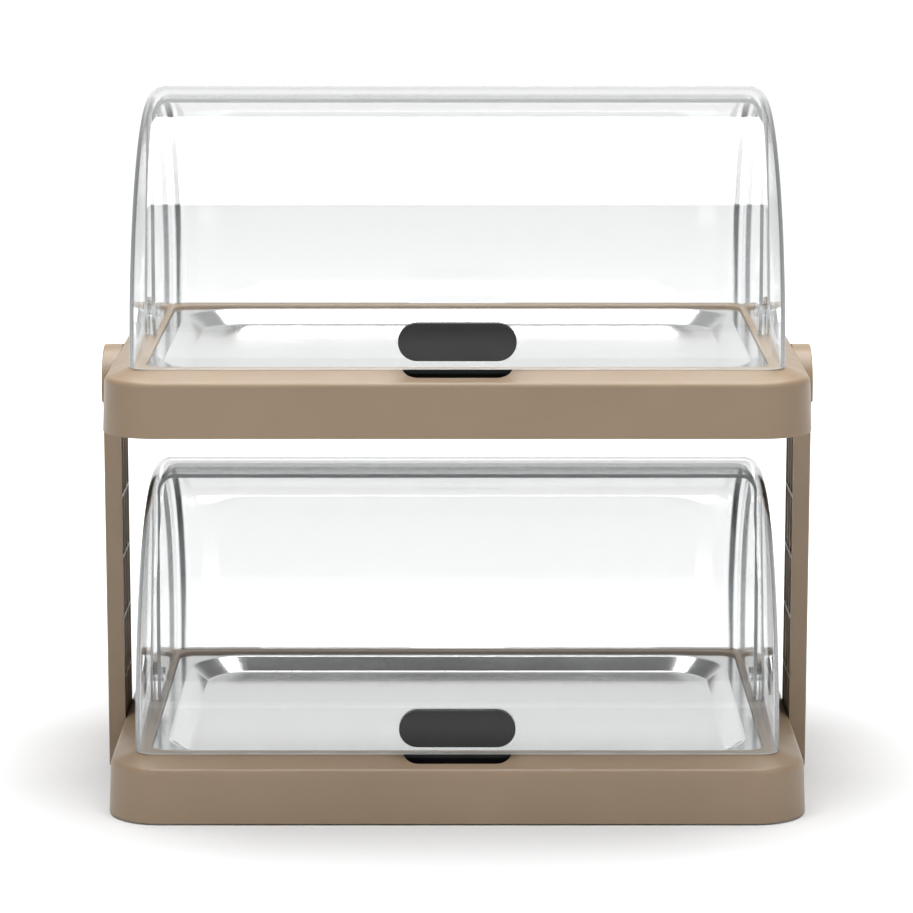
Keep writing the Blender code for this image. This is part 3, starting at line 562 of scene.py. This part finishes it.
def applied(mesh: Mesh, other: Mesh, operation: str) -> Mesh:
    """One mesh after a Boolean with another.

    Args:
        mesh: The mesh that is kept.
        other: The mesh that it is joined with or cut by.
        operation: UNION or DIFFERENCE.

    Returns:
        The new mesh.
    """
    items = [linked(data.name, data) for data in (mesh, other)]
    step = items[0].modifiers.new("step", "BOOLEAN")
    step.operation, step.solver, step.object = operation, "EXACT", items[1]
    graph = bpy.context.evaluated_depsgraph_get()
    made = bpy.data.meshes.new_from_object(items[0].evaluated_get(graph))
    made.name = mesh.name
    for item in items:
        bpy.data.objects.remove(item, do_unlink=True)
    return made


class SubAssembly:
    """What the sub-assemblies share: dressing a mesh as a finished piece."""

    def dress(
        self, name: str, mesh: Mesh, finish: Finish, slot: str, body: str, stands_for: list[str],
        wall: float = 0.0, edge: float = 0.0, sharp: float = 38.0,
    ) -> Piece:
        """Makes a mesh a piece of the display.

        Args:
            name: The piece's name.
            mesh: Its mesh, in place.
            finish: Its finish.
            slot: The record's material slot that the finish belongs to. Not used.
            body: The body that it rides on.
            stands_for: The frame's nodes that it replaces.
            wall: The thickness that an open shell gets, inwards.
            edge: The size of the rounding on its sharp edges.
            sharp: The angle in degrees past which an edge stays sharp.

        Returns:
            The piece.
        """
        if not mesh.materials:
            mesh.materials.append(finish.material())
        mesh.shade_smooth()
        piece = linked(name, mesh)
        if wall:
            skin = piece.modifiers.new("wall", "SOLIDIFY")
            skin.thickness, skin.offset = wall, -1.0
            skin.use_even_offset = True
            skin.material_offset_rim = len(mesh.materials) - 1
        if edge:
            round_off = piece.modifiers.new("edge", "BEVEL")
            round_off.width, round_off.segments = edge, 3
            round_off.limit_method, round_off.angle_limit = "ANGLE", math.radians(sharp)
            round_off.use_clamp_overlap = True
        shade = piece.modifiers.new("face weighted", "WEIGHTED_NORMAL")
        shade.keep_sharp = False
        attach(piece, body)
        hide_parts(*stands_for)
        LOG.info("%s rides on %s", name, body)
        return piece


@dataclass
class BaseMoulding(SubAssembly):
    """The taupe moulding of one tier: wall, sloping rim, ledge, tray recess and finger notches."""

    tier: Tier
    half_width: float = 220.0 * MM
    half_depth: float = 160.0 * MM
    corner: float = 34.0 * MM
    draft: float = 1.3 * MM
    wall: float = 2.8 * MM
    foot_round: float = 1.2 * MM
    edge_rise: float = 33.6 * MM
    edge_round: float = 2.6 * MM
    ledge_rise: float = 40.5 * MM
    ledge_side_inset: float = 17.2 * MM
    ledge_end_inset: float = 15.0 * MM
    ledge_corner: float = 17.0 * MM
    ledge_round: float = 1.2 * MM
    side_width: float = 9.3 * MM
    end_width: float = 13.0 * MM
    recess_corner: float = 12.0 * MM
    recess_round: float = 0.7 * MM
    lip_top: float = 37.6 * MM
    lip_side: float = 5.0 * MM
    lip_end: float = 2.4 * MM
    skirt_wall: float = 2.2 * MM
    skirt_drop: float = 20.0 * MM
    notch_half: float = 34.0 * MM
    notch_corner: float = 10.0 * MM
    notch_margin: float = 7.6 * MM
    notch_inner: float = 3.4 * MM
    seat_half: float = 26.8 * MM
    seat_depth: float = 2.0 * MM
    seat_reach: float = 22.0 * MM
    overrun: float = 4.0 * MM
    # The level from which on the moulding's hollow is matt black, as painted shade
    painted_shade_from: int = 5

    def section(self) -> list[Level]:
        """The levels of the moulding, once round its wall."""
        foot = Level(self.half_width, self.half_depth, self.corner, 0.0)
        edge = foot.drawn_in(self.draft, self.edge_rise)
        ledge_half_x = self.half_width - self.ledge_side_inset
        ledge_half_y = self.half_depth - self.ledge_end_inset
        ledge = Level(ledge_half_x, ledge_half_y, self.ledge_corner, self.ledge_rise)
        recess_half_x, recess_half_y = ledge_half_x - self.side_width, ledge_half_y - self.end_width
        recess = Level(recess_half_x, recess_half_y, self.recess_corner, self.ledge_rise)
        lip_root = replace(recess, height=self.lip_top)
        lip_half_x, lip_half_y = recess_half_x - self.lip_side, recess_half_y - self.lip_end
        lip = Level(lip_half_x, lip_half_y, self.recess_corner - self.lip_end, self.lip_top)
        skirt = lip.drawn_in(0.0, -self.skirt_drop)
        return [
            foot, edge, ledge, recess, lip_root, lip, skirt, skirt.drawn_in(-self.skirt_wall),
            lip.drawn_in(-self.skirt_wall, -self.skirt_wall),
            lip_root.drawn_in(-self.skirt_wall, -self.skirt_wall),
            recess.drawn_in(-self.skirt_wall, -self.wall), ledge.drawn_in(0.0, -self.wall),
            edge.drawn_in(self.wall, -self.wall / 2), foot.drawn_in(self.wall),
        ]

    def notch(self, end: int) -> Form:
        """The half-oval finger notch that is cut through the rim at one end."""
        outer = self.half_depth - self.notch_margin
        inner = self.half_depth - self.ledge_end_inset - self.notch_inner
        middle, low = (outer + inner) / 2, self.edge_rise - self.wall - self.overrun
        form = Form()
        corners = form.plate(self.notch_half, (outer - inner) / 2, (0.0, end * middle, low))
        far = [corner for corner in corners if end * corner.co.y > middle]
        form.round_corners(far, self.notch_corner, steps=14, clamp=True)
        form.raise_plate(self.ledge_rise + self.overrun - low)
        # The cut faces take the second material, so the notch's sides are matt black painted shade
        for face in form.mesh.faces:
            face.material_index = 1
        return form.outward()

    def seats(self) -> Form:
        """The flat seats that are cut into both side walls for the columns."""
        form = Form()
        for hand in Hand:
            reaches = (self.half_width - self.seat_depth, self.half_width + self.seat_reach)
            faces = sorted(hand.value * reach for reach in reaches)
            form.block(
                Vector((faces[0], -self.seat_half, -self.overrun)),
                Vector((faces[1], self.seat_half, self.ledge_rise + self.overrun)),
            )
        return form

    def shade_lined(self, mesh: Mesh) -> Mesh:
        """Gives a mesh the outer finish and the matt black of the hollow, which is painted shade."""
        for finish in (TAUPE, PAINTED_SHADE_BLACK):
            mesh.materials.append(finish.material())
        return mesh

    def build(self) -> None:
        """Makes the moulding and puts it in its tier."""
        form = Form()
        loops = form.loft(self.section(), ring=True, shade_lined=self.painted_shade_from)
        form.soften(loops[0], self.foot_round)
        form.soften(loops[1], self.edge_round, steps=6)
        form.soften(loops[2], self.ledge_round)
        form.soften(loops[3], self.recess_round)
        mesh = self.shade_lined(form.outward().data("base"))
        for cutter in (self.notch(1), self.notch(-1), self.seats()):
            mesh = applied(mesh, self.shade_lined(cutter.data("cutter")), "DIFFERENCE")
        mesh.transform(Matrix.Translation((0.0, 0.0, self.tier.floor)))
        self.dress(
            self.tier.piece("base_housing"), mesh, TAUPE, "moulded_taupe", STAND,
            [self.tier.piece("base")], edge=0.35 * MM, sharp=50.0,
        )


@dataclass
class SteelTray(SubAssembly):
    """The pressed tray of one tier: a flat rim, sloping sides and a flat floor."""

    tier: Tier
    sheet: float = 0.8 * MM
    side_rim: float = 9.5 * MM
    end_rim: float = 3.5 * MM
    well_corner: float = 35.0 * MM
    slope: float = 12.45 * MM
    outer_corner: float = 11.5 * MM
    brink_round: float = 1.3 * MM
    foot_round: float = 1.5 * MM

    def build(self) -> None:
        """Makes the tray in the space that its node holds."""
        node = self.tier.piece("steel_tray")
        low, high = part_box(node)
        top, floor = high.z, low.z + self.sheet
        rim = Level(high.x, high.y, self.outer_corner, top)
        brink = Level(high.x - self.side_rim, high.y - self.end_rim, self.well_corner, top)
        foot_corner = self.well_corner - self.slope / 2
        foot = Level(brink.half_x - self.slope, brink.half_y - self.slope, foot_corner, floor)
        form = Form()
        loops = form.loft([rim, brink, foot], steps=20)
        form.cap(loops[2])
        form.soften(loops[1], self.brink_round, steps=6)
        form.soften(loops[2], self.foot_round, steps=6)
        below = Vector((0.0, 0.0, low.z - 1.0))
        mesh = form.outward(below).data("tray")
        self.dress(
            self.tier.piece("pressed_tray"), mesh, STEEL, "steel_tray", STAND, [node],
            wall=self.sheet, edge=0.25 * MM, sharp=60.0,
        )


@dataclass
class RollHood(SubAssembly):
    """One half of a clear hood: a quarter drum with rounded shoulders and leaning sides."""

    tier: Tier
    half: HoodHalf
    half_width: float
    radius: float
    lean: float
    lap: float
    wall: float = 2.3 * MM
    shoulder: float = 12.0 * MM
    bore: float = 3.3 * MM
    foot: float = 15.7 * MM
    rise: float = 161.5 * MM
    pivot_rise: float = 16.0 * MM
    steps: int = 216
    boss_steps: int = 24

    def edge_slant(self) -> float:
        """The angle of the leaning edge, which touches the pivot boss and passes through the lap."""
        top = self.radius + self.wall
        return math.atan2(top, self.lap) - math.acos(self.foot / math.hypot(self.lap, top))

    def build(self) -> None:
        """Spins the drum, trims it to its side view, leans its sides and puts it on its pivot."""
        form = Form()
        side, low, high = self.half_width, self.bore, self.radius
        profile = [(-side, low), (-side, high), (side, high), (side, low)]
        form.turned(profile, self.steps, {1: self.shoulder, 2: self.shoulder})
        down = -math.pi / 2
        for step in range(self.boss_steps + 1):
            turn = down + (self.edge_slant() - down) * step / self.boss_steps
            outward = Vector((0.0, self.half.value * math.cos(turn), math.sin(turn)))
            form.trim(outward * self.foot, outward)
        for vert in form.mesh.verts:
            vert.co.x *= 1 - self.lean / self.half_width * (vert.co.z + self.pivot_rise) / self.rise
        form.outward(Vector())
        mesh = form.moved(Matrix.Translation(self.tier.pivot)).data("hood")
        is_front = self.half is HoodHalf.FRONT
        name = "front_hood" if is_front else "rear_hood"
        wall_finish = CLEAR_FRONT if is_front else CLEAR_REAR
        for finish in (wall_finish, CUT_EDGE):
            mesh.materials.append(finish.material())
        self.dress(
            self.tier.piece(name + "_shell"), mesh, wall_finish, "clear_hood",
            self.tier.hood_body if is_front else STAND, [self.tier.piece(name)],
            wall=self.wall, edge=0.4 * MM, sharp=55.0,
        )


@dataclass
class HandlePad(SubAssembly):
    """The black pad on the front hood: a crowned stadium whose back follows the hood."""

    tier: Tier
    half_length: float = 36.4 * MM
    half_height: float = 11.85 * MM
    crown: float = 2.6 * MM
    dome: float = 2.0 * MM
    dome_upright: float = 0.8
    slices: int = 24
    hood_radius: float = 145.85 * MM

    def build(self) -> None:
        """Makes the pad in the space that its node holds."""
        node = self.tier.piece("handle")
        low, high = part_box(node)
        middle, pivot = (low + high) / 2, self.tier.pivot
        deep = pivot.y - low.y
        form = Form()
        level = Level(self.half_length, self.half_height, self.half_height - HAIR, 0.0)
        form.cap(form.outline(level, steps=18))
        form.soften(form.raise_plate(deep - self.hood_radius + self.crown), self.crown, steps=8)
        for step in range(1, self.slices):
            across = self.half_height * (2 * step / self.slices - 1)
            form.trim(Vector((0.0, across, 0.0)), Vector((0.0, 1.0, 0.0)), clear=False)
        stand_up = Matrix.Rotation(math.pi / 2, 4, "X")
        form.moved(stand_up)
        rise = middle.z - pivot.z
        for vert in form.mesh.verts:
            if vert.co.y > -HAIR:
                vert.co.y = -math.sqrt(self.hood_radius**2 - (vert.co.z + rise) ** 2)
            else:
                upright = (vert.co.z / self.half_height) ** 2
                along = (vert.co.x / self.half_length) ** 2
                share = upright * self.dome_upright + along * (1 - self.dome_upright)
                vert.co.y -= self.hood_radius - self.crown - self.dome * share
        place = Matrix.Translation(pivot + Vector((0.0, 0.0, rise)))
        mesh = form.moved(place).outward().data("handle")
        self.dress(
            self.tier.piece("handle_pad"), mesh, HANDLE_BLACK, "handle_black", self.tier.hood_body, [node],
            edge=0.3 * MM, sharp=50.0,
        )


@dataclass
class SideColumn(SubAssembly):
    """A flat moulded column with a round head, and a ribbed back that faces the tiers."""

    hand: Hand
    half: float = 26.5 * MM
    thickness: float = 11.0 * MM
    front_round: float = 2.5 * MM
    head_proud: float = 1.0 * MM
    skin: float = 2.2 * MM
    rib: float = 1.8 * MM
    rib_pitch: float = 40.3 * MM
    first_rib: float = 20.1 * MM
    rows: int = 3

    def slab(self, low: float, high: float, inner: float, outer: float) -> Form:
        """A stretch of the column.

        Args:
            low: The height of its square end.
            high: The height of its round end.
            inner: Where its flat back lies.
            outer: Where its face lies.

        Returns:
            The stretch as a closed form.
        """
        form = Form()
        middle = (high + low) / 2
        corners = form.plate((high - low) / 2, self.half, (-middle, 0.0, 0.0))
        top = [corner for corner in corners if corner.co.x < -middle]
        form.round_corners(top, self.half - HAIR, steps=28, clamp=True)
        form.soften(form.raise_plate(outer - inner), self.front_round, steps=6)
        stand_up = Matrix.Translation((inner, 0.0, 0.0)) @ Matrix.Rotation(math.pi / 2, 4, "Y")
        return form.moved(stand_up).outward()

    def pockets(self, inner: float, outer: float, floor: float, pitch: float) -> Form:
        """The pockets between the ribs of the column's back."""
        form = Form()
        width = (2 * (self.half - self.skin) - (self.rows - 1) * self.rib) / self.rows
        least = self.rib_pitch / 4
        count = int((pitch - least - self.first_rib) / self.rib_pitch) + 1
        heights = [self.first_rib + step * self.rib_pitch for step in range(count)] + [pitch]
        for low, high in zip(heights, heights[1:]):
            for row in range(self.rows):
                middle = (row - (self.rows - 1) / 2) * (width + self.rib)
                form.block(
                    Vector((inner - self.skin, middle - width / 2, floor + low + self.rib / 2)),
                    Vector((outer - self.skin, middle + width / 2, floor + high - self.rib / 2)),
                )
        return form

    def build(self) -> None:
        """Makes the right column, and turns it where it is the left one."""
        node = f"side_column_{self.hand.word}"
        low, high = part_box(node)
        inner = min(abs(low.x), abs(high.x))
        outer = inner + self.thickness
        floor = Tier.LOWER.floor
        pitch = Tier.UPPER.floor - floor
        body = self.slab(low.z, high.z, inner, outer).data("column")
        head = self.slab(floor + pitch, high.z, inner + self.skin, outer + self.head_proud).data("head")
        mesh = applied(body, head, "UNION")
        mesh = applied(mesh, self.pockets(inner, outer, floor, pitch).data("pockets"), "DIFFERENCE")
        mesh.transform(self.hand.turn)
        self.dress(
            f"column_{self.hand.word}", mesh, TAUPE, "moulded_taupe", STAND, [node],
            edge=0.3 * MM, sharp=50.0,
        )


@dataclass
class HoodPivot(SubAssembly):
    """One pivot of a hood: a clear upright between the walls, a stud through them and a ribbed hub."""

    tier: Tier
    hand: Hand
    upright_radius: float = 8.5 * MM
    foot_half: float = 11.0 * MM
    bore: float = 3.3 * MM
    stud_radius: float = 3.0 * MM
    head_radius: float = 5.0 * MM
    head: float = 1.8 * MM
    ribs: int = 30
    rib_depth: float = 0.45 * MM
    cap: float = 0.8 * MM
    ledge_rise: float = 40.8 * MM
    head_steps: int = 24
    stud_steps: int = 48

    def named(self, piece: str) -> str:
        """The full name of one of this pivot's pieces."""
        return self.tier.piece(f"{piece}_{self.hand.word}")

    def faces(self, piece: str) -> tuple[float, float]:
        """How near and how far out a piece of this pivot reaches."""
        low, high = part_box(self.tier.piece(f"{piece}_{self.hand.word}"))
        return tuple(sorted((abs(low.x), abs(high.x))))

    def upright(self) -> None:
        """The clear upright, trimmed from a plate by planes that touch its round head."""
        inner, outer = self.faces("pivot_bracket")
        ledge = self.tier.floor + self.ledge_rise - self.tier.pivot.z
        above = 2 * self.upright_radius
        form = Form()
        form.block(Vector((inner, -self.foot_half, ledge)), Vector((outer, self.foot_half, above)))
        lean = math.atan2(self.foot_half - self.upright_radius, -ledge)
        for step in range(self.head_steps + 1):
            turn = -lean + (math.pi + 2 * lean) * step / self.head_steps
            outward = Vector((0.0, math.cos(turn), math.sin(turn)))
            form.trim(outward * self.upright_radius, outward, fill=True)
        self.dress_clear("pivot_bracket", "pivot_upright", form)

    def stud(self) -> None:
        """The clear stud with its head inside the rear hood."""
        inner, outer = self.faces("pivot_stud")
        step, wide, slim = inner + self.head, self.head_radius, self.stud_radius
        profile = [(inner, 0.0), (inner, wide), (step, wide), (step, slim), (outer, slim), (outer, 0.0)]
        form = Form()
        form.turned(profile, self.stud_steps)
        self.dress_clear("pivot_stud", "pivot_pin", form)

    def hub(self) -> None:
        """The hub outside the front hood, a cap over the stud with fine ribs round its rim."""
        inner, outer = self.faces("pivot_hub")
        hollow, reach, rib = outer - self.cap, self.upright_radius, self.rib_depth
        profile = [
            (hollow, 0.0), (hollow, self.bore), (inner, self.bore), (inner, reach), (outer - rib, reach),
            (outer, reach - 2 * rib), (outer, 0.0),
        ]
        form = Form()
        form.turned(profile, 4 * self.ribs)
        for vert in form.mesh.verts:
            size = math.hypot(vert.co.y, vert.co.z)
            if size > reach - rib:
                angle = math.atan2(vert.co.z, vert.co.y)
                share = 1 - rib / size * (0.5 - 0.5 * math.cos(self.ribs * angle))
                vert.co.y *= share
                vert.co.z *= share
        self.dress_clear("pivot_hub", "pivot_cap", form)

    def dress_clear(self, node: str, name: str, form: Form) -> None:
        """Puts a form made about the X axis on this pivot and finishes it."""
        place = self.hand.turn @ Matrix.Translation(self.tier.pivot)
        mesh = form.moved(place).outward().data(name)
        self.dress(
            self.named(name), mesh, CLEAR, "clear_fitting", STAND, [self.named(node)],
            edge=0.2 * MM, sharp=50.0,
        )

    def build(self) -> None:
        """Makes the pivot's three pieces."""
        self.upright()
        self.stud()
        self.hub()


@dataclass
class CarriedOver:
    """The frame's own solids that stay as they are, each with its finish."""

    tier: Tier

    def finishes(self) -> dict[str, tuple[Finish, str]]:
        """The finish and the slot of each kind of piece, by the start of its name."""
        screws = {f"{use}_screw": (ZINC, "screw_steel") for use in ("floor", "column", "handle")}
        return {
            # The floor pans are matt black as painted shade, so the tray below reflects a dark underside
            "floor_pan": (PAINTED_SHADE_BLACK, "handle_black"),
            "ice_pack_cap": (CAP_WHITE, "cap_white"),
            "ice_pack": (PACK_BLUE, "freezer_pack"),
        } | screws

    def build(self) -> None:
        """Gives each carried-over piece of the tier its finish."""
        for name, node in frame["nodes"].items():
            for start, (finish, slot) in self.finishes().items():
                if name.startswith(self.tier.piece(start)):
                    node.data.materials.clear()
                    node.data.materials.append(finish.material())
                    LOG.info("%s keeps its solid", name)
                    break


@dataclass
class RubberFoot(SubAssembly):
    """A moulded rubber foot with a rounded rim and a stem up through the pan."""

    corner: str
    rim_round: float = 0.5 * MM
    stem_radius: float = 2.0 * MM
    disc: float = 1.5 * MM
    steps: int = 64

    def build(self) -> None:
        """Makes the foot where its node lies."""
        node = f"foot_{self.corner}"
        low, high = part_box(node)
        middle = (low + high) / 2
        sole, step, top = low.z, low.z + self.disc, high.z
        wide, slim = (high.x - low.x) / 2, self.stem_radius
        profile = [(sole, 0.0), (sole, wide), (step, wide), (step, slim), (top, slim), (top, 0.0)]
        form = Form()
        form.turned(profile, self.steps, {1: self.rim_round})
        stand_up = Matrix.Translation((middle.x, middle.y, 0.0)) @ Matrix.Rotation(-math.pi / 2, 4, "Y")
        mesh = form.moved(stand_up).outward().data("foot")
        self.dress(f"rubber_{node}", mesh, RUBBER, "rubber_foot", STAND, [node])


@dataclass(frozen=True)
class Softbox:
    """One soft lamp of the studio."""

    name: str
    size: tuple[float, float]
    place: tuple[float, float, float]
    aim: tuple[float, float, float]
    power: float

    def build(self) -> None:
        """Hangs the lamp."""
        lamp = bpy.data.lights.new(self.name, "AREA")
        lamp.shape = "RECTANGLE"
        lamp.size, lamp.size_y = self.size
        lamp.energy = self.power
        item = linked(self.name, lamp)
        item.location = self.place
        item.rotation_mode = "QUATERNION"
        item.rotation_quaternion = (Vector(self.aim) - Vector(self.place)).to_track_quat("-Z", "Y")
        item.visible_camera = False


@dataclass(frozen=True)
class SeamlessPaper(Finish):
    """The studio's white paper floor."""

    shade: str = "dedede"
    # Near the display the floor gets less lift, which paints a shadow round its foot
    shadow: tuple[float, float] = (0.18, 0.42)
    shadow_glow: float = 0.24
    fall_off: tuple[float, float] = (0.40, 1.90)
    far_glow: float = 0.66

    def shader(self, tree: Nodes) -> Socket:
        """Matt white that is lifted for the eye, gloss and clear plastic, and more so further off, so it
        stays darker round the display's foot as painted shadow.
        """
        matt = add(tree, "ShaderNodeBsdfDiffuse", {"Color": linear(self.shade)})
        path = add(tree, "ShaderNodeLightPath").outputs
        seen = path["Is Camera Ray"]
        for ray in ("Is Glossy Ray", "Is Transmission Ray"):
            seen = add(tree, "ShaderNodeMath", links={0: seen, 1: path[ray]}, operation="MAXIMUM")
        place = add(tree, "ShaderNodeTexCoord").outputs["Object"]
        away = add(tree, "ShaderNodeVectorMath", links={0: place}, operation="LENGTH").outputs["Value"]
        near, far = (
            add(
                tree, "ShaderNodeMapRange", {"From Min": low, "From Max": high, "To Max": glow},
                {"Value": away}, interpolation_type="SMOOTHSTEP",
            )
            for (low, high), glow in ((self.shadow, self.shadow_glow), (self.fall_off, self.far_glow))
        )
        level = add(tree, "ShaderNodeMath", links={0: near, 1: far}, operation="ADD")
        lift = add(tree, "ShaderNodeMath", links={0: seen, 1: level}, operation="MULTIPLY")
        glow = add(tree, "ShaderNodeEmission", links={"Strength": lift})
        return add(tree, "ShaderNodeAddShader", links={0: matt, 1: glow}).outputs[0]


@dataclass
class Studio:
    """The camera, the lamps, the floor and the light all round."""

    camera_place: tuple[float, float, float] = (-0.5 * MM, -2412.0 * MM, 656.0 * MM)
    camera_pitch: float = math.radians(10.6)
    lens: float = 147.35
    film: float = 36.0
    floor_radius: float = 40.0
    floor_steps: int = 96
    ambient: float = 0.24
    dark_gloss: float = 0.11
    sheet_start: tuple[float, float] = (0.35, 0.60)
    sheet_side: tuple[float, float] = (0.40, 0.25)
    sheet_top: tuple[float, float] = (0.90, 0.70)
    room_start: tuple[float, float] = (-0.35, -0.65)
    room_glow: float = 0.60
    wall_edge: tuple[float, float] = (0.36, 0.32)
    wall_glow: float = 0.76
    fall: tuple[float, float] = (0.28, 0.12)
    fall_glow: float = 0.84

    def camera(self) -> None:
        """The camera at the photograph's viewing angle, a long lens a little above the upper hood."""
        data = bpy.data.cameras.new("shop camera")
        data.lens = self.lens
        data.sensor_width = self.film
        item = linked("shop camera", data)
        item.location = self.camera_place
        item.rotation_euler = (math.pi / 2 - self.camera_pitch, 0.0, 0.0)
        bpy.context.scene.camera = item

    def floor(self) -> None:
        """The plain pale floor."""
        form = Form()
        bmesh.ops.create_circle(form.mesh, cap_ends=True, radius=self.floor_radius, segments=self.floor_steps)
        mesh = form.data("floor")
        mesh.materials.append(SeamlessPaper("matt white seamless paper").material())
        item = linked("floor", mesh)

    def world(self) -> None:
        """White to the eye, softer as light. Gloss sees a low wall, a sheet behind and a pale room."""
        world = bpy.data.worlds.new("studio")
        bpy.context.scene.world = world
        world.use_nodes = True
        tree = world.node_tree
        tree.nodes.clear()
        path = add(tree, "ShaderNodeLightPath").outputs
        place = add(tree, "ShaderNodeTexCoord").outputs["Generated"]
        parts = add(tree, "ShaderNodeSeparateXYZ", links={0: place}).outputs
        across = add(tree, "ShaderNodeMath", links={0: parts["X"]}, operation="ABSOLUTE")
        ramps = (
            (parts["Y"], self.sheet_start, 0.0, 1.0),
            (across, self.sheet_side, 0.0, 1.0),
            (parts["Z"], self.sheet_top, 0.0, 1.0),
            (parts["Y"], self.room_start, 0.0, self.room_glow),
            (parts["Z"], self.wall_edge, 0.0, self.wall_glow),
            (parts["Z"], self.fall, self.fall_glow, 1.0),
        )
        behind, middle, below_roof, room, low, fall = (
            add(
                tree, "ShaderNodeMapRange",
                {"From Min": start, "From Max": end, "To Min": least, "To Max": most},
                {"Value": value}, interpolation_type="SMOOTHSTEP",
            )
            for value, (start, end), least, most in ramps
        )
        seen = behind
        for other, operation in (
            (middle, "MULTIPLY"), (below_roof, "MULTIPLY"), (room, "MAXIMUM"), (low, "MAXIMUM"),
            (fall, "MULTIPLY"),
        ):
            seen = add(tree, "ShaderNodeMath", links={0: seen, 1: other}, operation=operation)
        gloss = add(tree, "ShaderNodeMapRange", {"To Min": self.dark_gloss}, {"Value": seen})
        gloss_or_through = {0: path["Is Glossy Ray"], 1: path["Is Transmission Ray"]}
        polished = add(tree, "ShaderNodeMath", links=gloss_or_through, operation="MAXIMUM")
        light = {0: polished, 3: gloss}
        by_gloss = add(tree, "ShaderNodeMix", {2: self.ambient}, light, data_type="FLOAT")
        eye = {0: path["Is Camera Ray"], 2: by_gloss}
        level = add(tree, "ShaderNodeMix", {3: 1.0}, eye, data_type="FLOAT")
        sky = add(tree, "ShaderNodeBackground", {"Color": linear("ffffff")}, {"Strength": level})
        add(tree, "ShaderNodeOutputWorld", links={"Surface": sky})

    def lamps(self) -> None:
        """A wide softbox overhead, a fainter one each side of the camera and a low card in front."""
        middle = (0.0, 0.0, 0.2)
        for lamp in (
            Softbox("overhead softbox", (1.6, 1.64), (0.0, 0.01, 1.75), middle, 56.0),
            Softbox("left fill", (0.7, 1.2), (-1.6, -1.6, 0.9), middle, 3.8),
            Softbox("right fill", (0.7, 1.2), (1.6, -1.6, 0.9), middle, 2.8),
            Softbox("low front card", (1.8, 0.25), (0.0, -1.1, 0.14), (0.0, 0.0, 0.03), 0.9),
        ):
            lamp.build()

    def build(self) -> None:
        """Sets the studio up."""
        bpy.context.scene.view_settings.view_transform = "Standard"
        self.camera()
        self.floor()
        self.world()
        self.lamps()


def main() -> None:
    """Builds the display's looks."""
    logging.basicConfig(level=logging.INFO, format="%(name)s: %(message)s")
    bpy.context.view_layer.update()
    Studio().build()
    for tier in Tier:
        BaseMoulding(tier).build()
        SteelTray(tier).build()
        RollHood(
            tier, HoodHalf.REAR, half_width=197.9 * MM, radius=140.249 * MM, lean=1.5 * MM, lap=23.0 * MM
        ).build()
        RollHood(
            tier, HoodHalf.FRONT, half_width=202.5 * MM, radius=145.549 * MM, lean=2.0 * MM, lap=7.6 * MM
        ).build()
        HandlePad(tier).build()
        for hand in Hand:
            HoodPivot(tier, hand).build()
        CarriedOver(tier).build()
    for hand in Hand:
        SideColumn(hand).build()
    for corner in ("rear_right", "rear_left", "front_left", "front_right"):
        RubberFoot(corner).build()


if __name__ == "__main__":
    main()
